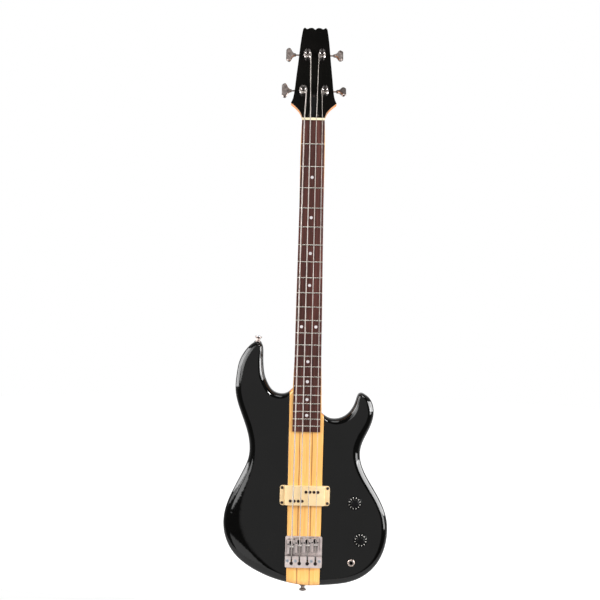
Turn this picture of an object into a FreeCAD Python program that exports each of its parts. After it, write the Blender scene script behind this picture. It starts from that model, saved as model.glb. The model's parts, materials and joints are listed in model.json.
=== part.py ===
import FreeCAD, Part
import math
import os

# Four-string neck-through electric bass guitar, in millimetres.
# X runs to the treble side, Y to the back, Z up along the neck.
# The origin is the middle of the rim of the strap pin at the tail.

Vec = FreeCAD.Vector

# Fits
OVERRUN = 6.0            # how far a cutting tool runs past the face that it cuts
RUNNING_FIT = 0.05       # radial room of a turning shaft in its hole
SNUG = 0.02              # radial room of a fixed screw or plug in its hole
CLEARANCE = 0.3          # room between pieces that move past each other

# Strap pins
PIN_FELT = 2.5
PIN_FELT_RADIUS = 7.8
PIN_BASE = 1.5
PIN_BASE_RADIUS = 6.2
PIN_WAIST = 6.5
PIN_WAIST_RADIUS = 4.0
PIN_RIM = 2.5
PIN_RIM_RADIUS = 7.0
PIN_SCREW_RADIUS = 2.1
PIN_SCREW_HEAD_RADIUS = 3.4
PIN_SCREW_HEAD = 1.8
PIN_SCREW_LENGTH = 24.0
TAIL_SEAT = 1.0          # depth of the flat for the tail pin
HORN_SEAT = 2.6          # depth of the flat for the horn pin
HORN_LEAN = 6.6          # degrees that the horn pin leans to the treble side

# Body
SCALE_LENGTH = 863.6
NUT_HEIGHT = 949.5       # tail end of the body to the front of the nut
BODY_LENGTH = 497.5      # tail end to the tip of the upper horn
BODY_HALF_WIDTH = 168.0
BODY_THICKNESS = 40.0
EDGE_WIDTH = 13.0        # how far the rolled edge reaches in from the outline
EDGE_DEPTH = 12.0        # how far it drops from the face
EDGE_DEPTH_GAIN_SHARE = 0.1
ROLL_STEPS = (0, 30, 60, 90)
CORE_TAIL_WIDTH = 67.8   # through neck at the tail
CORE_HEEL_WIDTH = 71.0   # through neck where it leaves the body
CORE_HEEL_HEIGHT = 404.0
STRIP_OFFSET = 12.7      # middle of each walnut strip from the centreline
STRIP_WIDTH = 2.4

# Outline of the body from the tail round the bass side: across as a share of the half width,
# up as a share of the length, then the reach of the front and back edges as shares of EDGE_WIDTH
BODY_OUTLINE_SHARES = (
    (0.000, 0.000, 1.0, 1.0), (-0.277, 0.017, 1.2, 1.0), (-0.602, 0.060, 2.3, 1.0),
    (-0.848, 0.124, 3.3, 1.0), (-0.957, 0.190, 3.6, 1.0), (-0.987, 0.256, 3.5, 1.0),
    (-0.955, 0.322, 3.1, 1.0), (-0.873, 0.389, 2.4, 1.2), (-0.775, 0.456, 1.7, 1.8),
    (-0.696, 0.523, 1.1, 2.4), (-0.692, 0.590, 1.0, 2.8), (-0.741, 0.655, 1.0, 2.4),
    (-0.814, 0.721, 1.0, 1.7), (-0.870, 0.795, 1.0, 1.1), (-0.860, 0.869, 1.0, 1.0),
    (-0.831, 0.919, 1.0, 1.0), (-0.755, 0.966, 0.9, 0.9), (-0.683, 0.991, 0.7, 0.7),
    (-0.613, 1.000, 0.55, 0.55), (-0.569, 0.993, 0.55, 0.55), (-0.547, 0.973, 0.6, 0.6),
    (-0.544, 0.937, 0.8, 0.8), (-0.538, 0.897, 0.9, 0.9), (-0.523, 0.864, 1.0, 1.0),
    (-0.485, 0.831, 1.0, 1.0), (-0.413, 0.798, 1.0, 1.0), (-0.340, 0.788, 0.9, 1.0),
    (-0.280, 0.788, 0.7, 0.9), (-0.220, 0.797, 0.5, 0.7), (-0.165, 0.812, 0.35, 0.5),
    (-0.110, 0.808, 0.35, 0.5), (0.000, 0.766, 0.5, 1.0), (0.110, 0.724, 0.35, 0.7),
    (0.170, 0.714, 0.35, 0.5), (0.230, 0.699, 0.5, 0.7), (0.285, 0.690, 0.7, 0.9),
    (0.340, 0.688, 0.9, 1.0), (0.411, 0.692, 1.0, 1.0), (0.483, 0.705, 1.0, 1.0),
    (0.555, 0.733, 0.9, 0.9), (0.589, 0.758, 0.6, 0.6), (0.614, 0.784, 0.4, 0.4),
    (0.634, 0.794, 0.4, 0.4), (0.662, 0.797, 0.4, 0.4), (0.706, 0.791, 0.5, 0.5),
    (0.763, 0.776, 0.8, 0.8), (0.798, 0.755, 1.0, 1.0), (0.816, 0.719, 1.0, 1.0),
    (0.767, 0.652, 1.1, 1.0), (0.678, 0.585, 1.3, 1.0), (0.660, 0.551, 1.3, 1.0),
    (0.699, 0.486, 1.2, 1.0), (0.804, 0.420, 1.1, 1.0), (0.918, 0.355, 1.0, 1.0),
    (0.996, 0.289, 1.0, 1.0), (1.015, 0.223, 1.0, 1.0), (0.983, 0.156, 1.0, 1.0),
    (0.893, 0.093, 1.0, 1.0), (0.798, 0.058, 1.0, 1.0), (0.604, 0.021, 1.0, 1.0),
    (0.410, 0.007, 1.0, 1.0), (0.205, 0.001, 1.0, 1.0),
)

# Neck and fretboard
BOARD_LENGTH = 633.0
BOARD_NUT_WIDTH = 46.0
BOARD_END_WIDTH = 57.0
BOARD_THICKNESS = 6.5
BOARD_RADIUS = 305.0
NECK_DEPTH = 22.0
HEEL_FLARE = 2.2         # how far the heel stands out beside the fretboard
HEEL_FOOT_SHARE = 0.674  # where the neck's round back ends, as a share of the body's length
NECK_REACH = NUT_HEIGHT - HEEL_FOOT_SHARE * BODY_LENGTH
# Neck sections: down from the nut as a share of NECK_REACH, depth as a share of NECK_DEPTH,
# and side flare as a share of HEEL_FLARE
NECK_SECTION_SHARES = (
    (-0.0423, 0.70, -0.6), (-0.0165, 0.88, -0.2), (0.0, 0.93, 0.0), (0.2577, 0.955, 0.0),
    (0.701, 1.0, 0.0), (0.799, 1.055, 0.0), (0.8454, 1.14, 0.3), (0.8969, 1.30, 0.6),
    (0.9443, 1.50, 0.85), (1.0, 1.68, 1.0),
)
NECK_ROUND_SHARE = 0.72  # power of the rounded back: 1 is an ellipse turned flat, 0 is square
NECK_ROUND_STEPS = 8

# Frets and markers
FRET_COUNT = 22
FRET_WIDTH = 2.4
FRET_CROWN = 1.1
FRET_TANG_WIDTH = 0.6
FRET_TANG_DEPTH = 1.6
DOT_RADIUS = 3.1
DOT_DEPTH = 1.6
DOT_FRETS = (3, 5, 7, 9, 15, 17, 19, 21)
DOUBLE_DOT_FRET = 12
DOUBLE_DOT_OFFSET = 14.6

# Nut and truss rod
NUT_THICKNESS = 4.5
NUT_RISE = 9.0
ROD_RADIUS = 2.8
ROD_DEPTH = 4.2          # middle of the rod below the fretboard
ROD_REACH = 590.0        # how far the rod runs down from the nut
ROD_NUT_RADIUS = 3.0
ROD_NUT_START = 6.0      # above the nut's front
ROD_NUT_LENGTH = 9.0
ROD_END_RADIUS = 1.8
ROD_END_REACH = 16.5     # end of the rod above the nut's front
ROD_SLOT_HALF_WIDTH = 3.8
ROD_SLOT_ROOM = 3.5      # floor of the open slot behind the rod's middle
ROD_SLOT_REACH = 30.0

# Headstock, in its own tilted plane: across, along from the nut, and out of its maple face
HEAD_TILT = 12.0
HEAD_LENGTH = 192.5
HEAD_EAR_HALF_WIDTH = 46.4
HEAD_THICKNESS = 16.0
OVERLAY = 1.5
# Half outline as shares of the ear's half width and of the length
HEAD_NECK_SHARES = ((0.490, 0.0), (0.513, 0.021), (0.580, 0.060), (0.752, 0.113), (1.0, 0.164))
HEAD_SIDE_SHARES = (
    (1.0, 0.164), (0.918, 0.210), (0.875, 0.260), (0.806, 0.416), (0.716, 0.623),
    (0.642, 0.810), (0.548, 0.970),
)
HEAD_TOP_SHARES = (
    (0.548, 0.970), (0.513, 0.991), (0.455, 1.0), (0.371, 0.987), (0.270, 0.995),
    (0.172, 1.0), (0.075, 0.994), (0.0, 0.981),
)

# Cover of the truss rod's slot, in the headstock's plane
COVER_START = 0.6        # room between the cover and the nut
COVER_LENGTH = 50.0
COVER_HALF_WIDTH = 12.0
COVER_THICKNESS = 1.6
COVER_LOW_SCREW_ACROSS = 8.9
COVER_LOW_SCREW_ALONG = 4.6
COVER_TOP_SCREW_ALONG = 45.5
# Half outline as shares of the half width and of the length
COVER_SHARES = (
    (1.0, 0.0), (0.98, 0.10), (0.86, 0.24), (0.64, 0.42), (0.50, 0.62), (0.45, 0.80),
    (0.38, 0.92), (0.22, 0.98), (0.0, 1.0),
)

# Small screws
SMALL_SCREW_RADIUS = 1.2
SMALL_SCREW_HEAD_RADIUS = 2.2
SMALL_SCREW_HEAD = 0.9
SMALL_SCREW_LENGTH = 9.0

# Tuning machines, each about its post: out to the side, along the headstock, out of its face
POST_OUTER_ACROSS = 22.0
POST_OUTER_ALONG = 57.2
POST_INNER_ACROSS = 14.7
POST_INNER_ALONG = 134.4
POST_RADIUS = 5.0
POST_TOP = 23.0
POST_FLARE = 0.7
POST_FLARE_LENGTH = 2.6
POST_SLOT_WIDTH = 2.9
POST_SLOT_DEPTH = 7.0
POST_BORE_RADIUS = 1.7
POST_BORE_DEPTH = 11.0
FERRULE_RADIUS = 8.0
FERRULE_HEIGHT = 2.4
FERRULE_TUBE_RADIUS = 6.4
FERRULE_TUBE_LENGTH = 8.0
PLATE_THICKNESS = 2.0
PLATE_INNER = 9.5
PLATE_OUTER = 12.5
PLATE_LOW = 13.0
PLATE_HIGH = 17.0
PLATE_CORNER = 3.0
PLATE_SCREW_INSET = 3.0
GEAR_TEETH = 16
GEAR_RADIUS = 5.4        # pitch circle
GEAR_TOOTH_HEIGHT = 0.35
GEAR_TOOTH_DROP = 0.4
GEAR_STANDOFF = 4.6      # room between the plate and the worm wheel
GEAR_THICKNESS = 2.6
GEAR_ROOT_SHARE = 0.44   # width of a tooth at its root, as a share of the pitch
GEAR_TIP_SHARE = 0.16
GEAR_HUB_RADIUS = 3.8
GEAR_HUB = 1.2
GEAR_SCREW_RADIUS = 2.8
GEAR_SCREW_HEAD = 1.4
WORM_CORE_RADIUS = 1.9
WORM_OFFSET = 7.95       # key shaft's line from the post's line
KEY_RADIUS = 1.6
LUG_THICKNESS = 2.8
LUG_HALF_WIDTH = 3.4
LUG_GAP = 0.2
WORM_HALF_LENGTH = 5.8
BUTTON_START = 24.0
BUTTON_LENGTH = 20.0
BUTTON_HALF_HEIGHT = 15.0
BUTTON_THICKNESS = 7.0
BUTTON_EDGE = 1.6
# Half outline of a button: out from its start and up from its shaft, as shares
BUTTON_SHARES = (
    (0.0, 0.20), (0.20, 0.25), (0.38, 0.48), (0.52, 0.84), (0.66, 1.0), (0.80, 0.96), (1.0, 0.66),
)

# Strings: name, side, post row, diameter, setback of the saddle from the scale length,
# and how far the tuner's button is turned
STRINGS = (
    ("e", -1, "outer", 2.6, 3.2, 10.0),
    ("a", -1, "inner", 2.1, 0.6, -6.0),
    ("d", 1, "inner", 1.65, 0.0, -28.0),
    ("g", 1, "outer", 1.15, -1.2, -41.0),
)
NUT_PITCH = 12.1
SADDLE_PITCH = 16.3
NUT_STRING_RISE = 1.9    # underside of the strings above the fretboard at the nut
SADDLE_STRING_RISE = 12.6  # underside of the strings above the body at the saddles
STRING_BEND_RADIUS = 12.0
WRAP_TURNS = 2
WRAP_GAP = 0.55          # clear room between two turns of a wrap
WRAP_BASE = 2.0          # lowest wrap above the ferrule
BALL_RADIUS = 2.7
BALL_LENGTH = 5.4

# Bridge
BRIDGE_WIDTH = 75.0
BRIDGE_LENGTH = 63.5
BRIDGE_REACH = 17.0      # front edge ahead of the saddles' line
BRIDGE_CORNER = 3.0
BRIDGE_BASE = 2.5
TAIL_BLOCK_LENGTH = 23.0
TAIL_BLOCK_HEIGHT = 9.0
TAIL_BLOCK_ROOF = 2.2
TAIL_BLOCK_FLOOR = 1.2
KEYHOLE_RADIUS = 3.7
KEYHOLE_INSET = 8.6      # middle of the keyholes above the tail edge
KEYHOLE_SLOT = 3.0
BALL_POCKET_REACH = 8.2  # pocket ahead of the keyhole's middle
BRIDGE_SCREW_RADIUS = 1.8
BRIDGE_SCREW_HEAD_RADIUS = 3.2
BRIDGE_SCREW_LENGTH = 22.0
BRIDGE_SCREW_ROW = 13.8  # above the tail edge
BRIDGE_FRONT_SCREW = 2.2  # behind the front edge, and beside the saddles' path
SADDLE_WIDTH = 15.6
SADDLE_SHIFT = 1.5       # each saddle's middle lies this far to the bass side of its string
SADDLE_FRONT = 13.0
SADDLE_BACK = 15.0
SADDLE_FLOAT = 0.6
SADDLE_HEIGHT = 7.4
SADDLE_CREST_WIDTH = 8.6
SADDLE_CREST_RADIUS = 1.7
SADDLE_CHANNEL_WIDTH = 8.6
SADDLE_CHANNEL_FLOOR = 2.6
SADDLE_TRAVEL = 4.0
LOCK_SCREW_RADIUS = 1.9
LOCK_SCREW_HEAD_RADIUS = 3.0
LOCK_SCREW_HEAD = 1.9
LOCK_SCREW_AHEAD = 9.0   # ahead of the crest
LOCK_LEDGE = 4.0         # height of the ledge that the lock screw holds
HEIGHT_SCREW_RADIUS = 1.5
HEIGHT_SCREW_OFFSET = 5.6
HEIGHT_SCREW_AHEAD = 4.6
HEIGHT_SCREW_TOP = 6.0
HEIGHT_SCREW_STAND = 0.06

# Pickup
PICKUP_BELOW_NUT = 763.2
PICKUP_WIDTH = 101.6
PICKUP_HEIGHT = 40.4
PICKUP_BLOCK_WIDTH = 81.0
PICKUP_EAR = 2.5
PICKUP_RISE = 9.5
PICKUP_WALL = 1.5
PICKUP_EAR_CORNER = 5.0
PICKUP_BLOCK_CORNER = 3.0
PICKUP_EDGE = 1.0
PICKUP_SCREW_ACROSS = 46.4
PICKUP_SCREW_ALONG = 15.4
PICKUP_SCREW_RADIUS = 1.6
PICKUP_SCREW_HEAD_RADIUS = 3.0
PICKUP_SCREW_HEAD = 1.4
PICKUP_SCREW_LENGTH = 18.0
POLE_RADIUS = 3.1
POLE_PITCH = 8.1
POLE_COUNT = 4
POLE_PROUD = 0.4
POLE_ROW_ACROSS = 15.8
POLE_ROW_ALONG = 9.4
POLE_SHIFT = 1.4         # both rows together to the bass side
POLE_DROP = 1.4          # and down from the pickup's middle
COIL_MARGIN = 2.6        # winding beyond the poles
COIL_DEPTH = 17.5
PICKUP_BASE = 2.0
PICKUP_CAVITY_DEPTH = 12.6

# Controls
VOLUME_ACROSS = 102.1
VOLUME_HEIGHT = 172.8    # above the tail end
TONE_ACROSS = 115.6
TONE_HEIGHT = 97.3
JACK_ACROSS = 97.6
JACK_HEIGHT = 50.0
CAVITY_RADIUS = 18.0
CAVITY_FRONT_WALL = 7.0
CONTROL_COVER_RADIUS = 22.5
CONTROL_COVER_THICKNESS = 2.4
CONTROL_COVER_GAP = 0.15
CONTROL_SCREW_RING = 20.2
CONTROL_SCREW_ANGLES = (
    ("volume", 60), ("volume", 160), ("tone", 0), ("tone", 195), ("jack", 240), ("jack", 330),
)
WIRE_HOLE_RADIUS = 3.5
WIRE_RADIUS = 1.2
WIRE_SLACK_SHARE = 0.25  # how far the leads bow to the side
POT_RADIUS = 12.0
POT_DEPTH = 9.0
POT_BUSH_RADIUS = 4.0
POT_SHAFT_RADIUS = 3.0
POT_SHAFT_TIP = 14.0     # end of the shaft ahead of the body's face
POT_SHAFT_ROOT = 3.0     # end of the shaft inside the pot
POT_NUT_RADIUS = 6.4
POT_NUT = 2.2
KNOB_SKIRT_RADIUS = 14.4
KNOB_SKIRT = 2.6
KNOB_GRIP_RADIUS = 8.4
KNOB_NECK = 5.4          # where the grip starts, above the knob's underside
KNOB_HEIGHT = 16.0
KNOB_EDGE = 1.2
KNOB_FLOAT = 0.5
KNOB_HOLLOW_RADIUS = 8.0
KNOB_HOLLOW = 3.2
JACK_BORE_RADIUS = 3.2
JACK_BORE_LENGTH = 29.0
JACK_BARREL_RADIUS = 4.7
JACK_BODY_RADIUS = 7.4
JACK_BODY_LENGTH = 22.0
JACK_NUT_RADIUS = 7.25
JACK_NUT = 2.0
JACK_PROUD = 0.8

# Levels that follow from the sizes above
FRONT_Y = -BODY_THICKNESS / 2
BACK_Y = BODY_THICKNESS / 2
TAIL_Z = PIN_FELT + PIN_BASE + PIN_WAIST + PIN_RIM / 2 - TAIL_SEAT
NUT_Z = TAIL_Z + NUT_HEIGHT
SADDLE_Z = NUT_Z - SCALE_LENGTH
BOARD_Y = FRONT_Y - BOARD_THICKNESS
BRIDGE_Y = FRONT_Y - BRIDGE_BASE
BRIDGE_FRONT_Z = SADDLE_Z + BRIDGE_REACH
BRIDGE_TAIL_Z = BRIDGE_FRONT_Z - BRIDGE_LENGTH
PICKUP_Z = NUT_Z - PICKUP_BELOW_NUT
CAVITY_Y = FRONT_Y + CAVITY_FRONT_WALL
CONTROLS = {
    "volume": Vec(VOLUME_ACROSS, FRONT_Y, TAIL_Z + VOLUME_HEIGHT),
    "tone": Vec(TONE_ACROSS, FRONT_Y, TAIL_Z + TONE_HEIGHT),
    "jack": Vec(JACK_ACROSS, FRONT_Y, TAIL_Z + JACK_HEIGHT),
}
TO_BACK = Vec(0, 1, 0)
TO_FRONT = Vec(0, -1, 0)
HEAD = FreeCAD.Placement(
    Vec(0, FRONT_Y, NUT_Z + NUT_THICKNESS), FreeCAD.Rotation(Vec(1, 0, 0), 90 - HEAD_TILT)
)


def box(low, high):
    """Box between two opposite corners."""
    size = high - low
    return Part.makeBox(size.x, size.y, size.z, low)


def rod(radius, start, end):
    """Round bar from one point to another."""
    return Part.makeCylinder(radius, (end - start).Length, start, end - start)


def prism(points, run):
    """Closed polygon carried along a run."""
    return Part.Face(Part.makePolygon(list(points) + [points[0]])).extrude(run)


def spline(points, closed=False):
    """Smooth edge through points."""
    curve = Part.BSplineCurve()
    curve.interpolate(Points=points, PeriodicFlag=closed)
    return curve.toShape()


def turned(profile, start, axis):
    """Round solid from (radius, height) pairs about an axis through start."""
    points = [Vec(radius, 0, height) for radius, height in profile]
    solid = Part.Face(Part.makePolygon(points + [points[0]])).revolve(Vec(), Vec(0, 0, 1), 360)
    solid.Placement = FreeCAD.Placement(start, FreeCAD.Rotation(Vec(0, 0, 1), axis))
    return solid


def moved(shape, placement):
    """Copy of a shape carried by a placement."""
    copy = shape.copy()
    copy.Placement = placement.multiply(copy.Placement)
    return copy


def shifted(shape, run):
    """Copy of a shape moved along a run."""
    return moved(shape, FreeCAD.Placement(run, FreeCAD.Rotation()))


def front_plate(width, height, thickness, corner, middle):
    """Plate with rounded corners that stands on a point of a front face."""
    half = Vec(width / 2, 0, height / 2)
    blank = box(middle - half + TO_FRONT * thickness, middle + half)
    upright = [edge for edge in blank.Edges if abs(edge.tangentAt(edge.FirstParameter).y) > 0.5]
    return blank.makeFillet(corner, upright)


def wood_screw(radius, length, head_radius, head, seat, inward):
    """Screw with a rounded head on its seat and a plain shank that runs inward."""
    profile = [
        (0, length), (radius, length - radius), (radius, 0), (head_radius, 0),
        (head_radius, -head / 2), (head_radius - head / 2, -head), (0, -head),
    ]
    return turned(profile, seat, inward)


def capsule_chain(radius, points, run):
    """Round-ended slot through a row of points, carried along a run."""
    solids = [rod(radius, point, point + run) for point in points]
    for start, end in zip(points, points[1:]):
        side = (end - start).normalize().cross(run).normalize() * radius
        solids.append(prism([start + side, end + side, end - side, start - side], run))
    return solids[0].multiFuse(solids[1:]).removeSplitter()


def split_solids(shape):
    """Solids of a shape from the bass side to the treble side."""
    return sorted(shape.Solids, key=lambda solid: solid.CenterOfMass.x)


def body_rings(side, points, tangents):
    """Rings of one rolled edge, from the flat face out to the side wall."""
    steps = [0]
    for start, end in zip(points, points[1:] + points[:1]):
        steps.append(steps[-1] + (end - start).Length)
    rings = []
    for degrees in ROLL_STEPS:
        turn = math.radians(degrees)
        ring = []
        for point, tangent, row in zip(points, tangents, BODY_OUTLINE_SHARES):
            spread = row[2] if side < 0 else row[3]
            depth = EDGE_DEPTH * (1 + (spread - 1) * EDGE_DEPTH_GAIN_SHARE)
            inset = EDGE_WIDTH * spread * (1 - math.sin(turn))
            level = side * (BODY_THICKNESS / 2 - depth * (1 - math.cos(turn)))
            ring.append(point + Vec(tangent.z, 0, -tangent.x) * inset + Vec(0, level, 0))
        curve = Part.BSplineCurve()
        curve.interpolate(Points=ring, PeriodicFlag=True, Parameters=steps)
        rings.append(Part.Wire([curve.toShape()]))
    return rings


def body_blank():
    """Whole body with its rolled edges, forearm bevel and belly cut."""
    points = [
        Vec(across * BODY_HALF_WIDTH, 0, TAIL_Z + up * BODY_LENGTH)
        for across, up, _, _ in BODY_OUTLINE_SHARES
    ]
    outline = Part.BSplineCurve()
    outline.interpolate(Points=points, PeriodicFlag=True)
    tangents = [outline.tangent(outline.parameter(point))[0] for point in points]
    front = body_rings(-1, points, tangents)
    back = body_rings(1, points, tangents)
    faces = [Part.Face(front[0]), Part.Face(back[0])]
    faces += Part.makeLoft(front, False, False).Faces
    faces += Part.makeLoft([front[-1], back[-1]], False, True).Faces
    faces += Part.makeLoft(back, False, False).Faces
    skin = Part.makeCompound(faces)
    skin.sewShape()
    body = Part.makeSolid(skin.Shells[0])
    if body.Volume < 0:
        body.reverse()
    return body


def core_slab():
    """Tapered slab that parts the through neck from the wings."""
    slope = (CORE_HEEL_WIDTH - CORE_TAIL_WIDTH) / CORE_HEEL_HEIGHT / 2
    low = -PIN_SCREW_LENGTH
    high = BODY_LENGTH
    corners = []
    for side, ends in ((-1, (low, high)), (1, (high, low))):
        for height in ends:
            half = CORE_TAIL_WIDTH / 2 + slope * height
            corners.append(Vec(side * half, -BODY_THICKNESS, TAIL_Z + height))
    return prism(corners, TO_BACK * BODY_THICKNESS * 2)


def board_half_width(below_nut):
    """Half width of the fretboard at a distance below the nut."""
    return (BOARD_NUT_WIDTH + (BOARD_END_WIDTH - BOARD_NUT_WIDTH) * below_nut / BOARD_LENGTH) / 2


def neck_shaft():
    """Rounded neck from inside the headstock down into the heel."""
    sections = []
    for run, depth, flare in NECK_SECTION_SHARES:
        below = run * NECK_REACH
        half = board_half_width(below) + flare * HEEL_FLARE
        back = []
        for step in range(NECK_ROUND_STEPS + 1):
            turn = math.pi * step / NECK_ROUND_STEPS
            across = math.copysign(abs(math.cos(turn)) ** NECK_ROUND_SHARE, math.cos(turn))
            inward = max(math.sin(turn), 0) ** NECK_ROUND_SHARE
            back.append(Vec(across * half, FRONT_Y + inward * depth * NECK_DEPTH, NUT_Z - below))
        sections.append(Part.Wire([spline(back), Part.makeLine(back[-1], back[0])]))
    return Part.makeLoft(sections, True, False)


def headstock_face():
    """Flat face of the headstock in its own plane."""
    def side_points(shares, side):
        return [Vec(side * x * HEAD_EAR_HALF_WIDTH, s * HEAD_LENGTH, 0) for x, s in shares]

    right = [side_points(shares, 1) for shares in (HEAD_NECK_SHARES, HEAD_SIDE_SHARES)]
    left = [side_points(shares, -1) for shares in (HEAD_SIDE_SHARES, HEAD_NECK_SHARES)]
    top = side_points(HEAD_TOP_SHARES, 1) + side_points(HEAD_TOP_SHARES, -1)[-2::-1]
    edges = [spline(points) for points in right + [top]]
    edges += [spline(points[::-1]) for points in left]
    edges.append(Part.makeLine(left[1][0], right[0][0]))
    return Part.Face(Part.Wire(edges))


def on_head(shape):
    """Shape drawn in the headstock's plane, set in place."""
    return moved(shape, HEAD)


def post_places():
    """Post of each string in the headstock's plane, by string name."""
    rows = {"outer": (POST_OUTER_ACROSS, POST_OUTER_ALONG), "inner": (POST_INNER_ACROSS, POST_INNER_ALONG)}
    return {
        name: Vec(side * rows[row][0], rows[row][1], 0) for name, side, row, _, _, _ in STRINGS
    }


def on_post(shape, name, side):
    """Tuner piece drawn about its post, set in place on either side of the headstock."""
    if side < 0:
        shape = shape.mirror(Vec(), Vec(1, 0, 0))
    return on_head(shifted(shape, post_places()[name]))


def fret_line(number):
    """Height of a fret."""
    return NUT_Z - SCALE_LENGTH * (1 - 2 ** (-number / 12))


def board_blank():
    """Fretboard before its slots and dots are cut."""
    low = NUT_Z - BOARD_LENGTH
    plan = [
        Vec(-board_half_width(0), FRONT_Y, NUT_Z), Vec(board_half_width(0), FRONT_Y, NUT_Z),
        Vec(board_half_width(BOARD_LENGTH), FRONT_Y, low),
        Vec(-board_half_width(BOARD_LENGTH), FRONT_Y, low),
    ]
    crown_axis = Vec(0, BOARD_Y + BOARD_RADIUS, low - OVERRUN)
    crown = Part.makeCylinder(BOARD_RADIUS, BOARD_LENGTH + 2 * OVERRUN, crown_axis, Vec(0, 0, 1))
    return prism(plan, TO_FRONT * BOARD_THICKNESS * 2).common(crown)


def fret(number):
    """One fret: a domed crown and a tang, bent to the fretboard's radius."""
    height = fret_line(number)
    half = math.degrees(math.asin(board_half_width(NUT_Z - height) / BOARD_RADIUS))
    edge = FRET_WIDTH / 2
    tang = FRET_TANG_WIDTH / 2

    def spot(along, out):
        return Vec(0, BOARD_Y - out, height + along)

    dome = Part.Arc(spot(edge, 0), spot(0, FRET_CROWN), spot(-edge, 0)).toShape()
    under = Part.makePolygon([
        spot(-edge, 0), spot(-tang, 0), spot(-tang, -FRET_TANG_DEPTH),
        spot(tang, -FRET_TANG_DEPTH), spot(tang, 0), spot(edge, 0),
    ])
    middle = Vec(0, BOARD_Y + BOARD_RADIUS, height)
    face = Part.Face(Part.Wire([dome] + under.Edges))
    face.rotate(middle, Vec(0, 0, 1), -half)
    return face.revolve(middle, Vec(0, 0, 1), 2 * half)


def fret_slots():
    """Slots for the tangs."""
    slots = []
    for number in range(1, FRET_COUNT + 1):
        height = fret_line(number)
        half = FRET_TANG_WIDTH / 2 + SNUG
        foot = Vec(0, BOARD_Y + BOARD_RADIUS, height - half)
        ring = Part.makeCylinder(BOARD_RADIUS + OVERRUN, 2 * half, foot)
        inner = Part.makeCylinder(
            BOARD_RADIUS - FRET_TANG_DEPTH - SNUG, 2 * half, Vec(0, BOARD_Y + BOARD_RADIUS, height - half)
        )
        reach = Vec(BOARD_END_WIDTH, 0, half)
        near = Vec(0, FRONT_Y, height)
        window = box(near - reach + TO_FRONT * BOARD_THICKNESS * 2, near + reach)
        slots.append(ring.cut(inner).common(window))
    return slots


def dot_pegs():
    """Pegs of the position dots, longer than the finished dots."""
    places = [(0, number) for number in DOT_FRETS]
    places += [(-DOUBLE_DOT_OFFSET, DOUBLE_DOT_FRET), (DOUBLE_DOT_OFFSET, DOUBLE_DOT_FRET)]
    pegs = []
    for across, number in places:
        height = (fret_line(number) + fret_line(number - 1)) / 2
        low = BOARD_Y + DOT_DEPTH
        pegs.append(rod(DOT_RADIUS, Vec(across, low, height), Vec(across, low - BOARD_THICKNESS, height)))
    return pegs


def string_lines():
    """Straight points of each string: ball, crest over the saddle, nut, and post side."""
    lines = {}
    for index, (name, side, _, diameter, setback, _) in enumerate(STRINGS):
        step = index - (len(STRINGS) - 1) / 2
        at_bridge = step * SADDLE_PITCH
        ball = Vec(at_bridge, FRONT_Y - TAIL_BLOCK_FLOOR - BALL_RADIUS - SNUG, ball_height())
        crest_y = FRONT_Y - SADDLE_STRING_RISE - CLEARANCE - diameter / 2
        crest = Vec(at_bridge, crest_y, SADDLE_Z - setback)
        nut = Vec(step * NUT_PITCH, BOARD_Y - NUT_STRING_RISE - diameter / 2, NUT_Z + NUT_THICKNESS / 2)
        lines[name] = (ball, crest, nut)
    return lines


def ball_height():
    """Height of the ball ends in the bridge."""
    return BRIDGE_TAIL_Z + KEYHOLE_INSET + BALL_POCKET_REACH - BALL_RADIUS - SNUG


def bend(before, corner, after, radius):
    """Arc that rounds a corner, with the points where it leaves the two runs."""
    back = (before - corner).normalize()
    ahead = (after - corner).normalize()
    half = back.getAngle(ahead) / 2
    reach = radius / math.tan(half)
    inner = (back + ahead).normalize()
    middle = corner + inner * (radius / math.sin(half) - radius)
    return corner + back * reach, middle, corner + ahead * reach


def biarc(start, start_way, end, end_way):
    """Two tangent arcs from one point and direction to another."""
    gap = end - start
    ways = start_way + end_way
    curl = 2 * (1 - start_way.dot(end_way))
    along = gap.dot(ways)
    reach = (math.sqrt(along * along + curl * gap.dot(gap)) - along) / curl
    joint = (start + end + (start_way - end_way) * reach) / 2
    arcs = []
    for first, way, last in ((start, start_way, joint), (end, end_way * -1, joint)):
        chord = last - first
        heading = chord / chord.Length
        rise = way - heading * way.dot(heading)
        lift = math.tan(way.getAngle(heading) / 2) * chord.Length / 2
        top = (first + last) / 2 + rise.normalize() * lift
        arcs.append(Part.Arc(first, top, last).toShape())
    return arcs


def wrap_nodes(place, side, radius, pitch, start_turn, base):
    """Points and directions of a wrap round a post, every half turn."""
    nodes = []
    slope = pitch / (2 * math.pi * radius)
    for half_turn in range(2 * WRAP_TURNS + 1):
        turn = start_turn + side * math.pi * half_turn
        out = Vec(math.cos(turn), math.sin(turn), 0)
        way = Vec(-side * out.y, side * out.x, slope).normalize()
        point = place + out * radius + Vec(0, 0, base + pitch * half_turn / 2)
        nodes.append((HEAD.multVec(point), HEAD.Rotation.multVec(way)))
    return nodes


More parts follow.
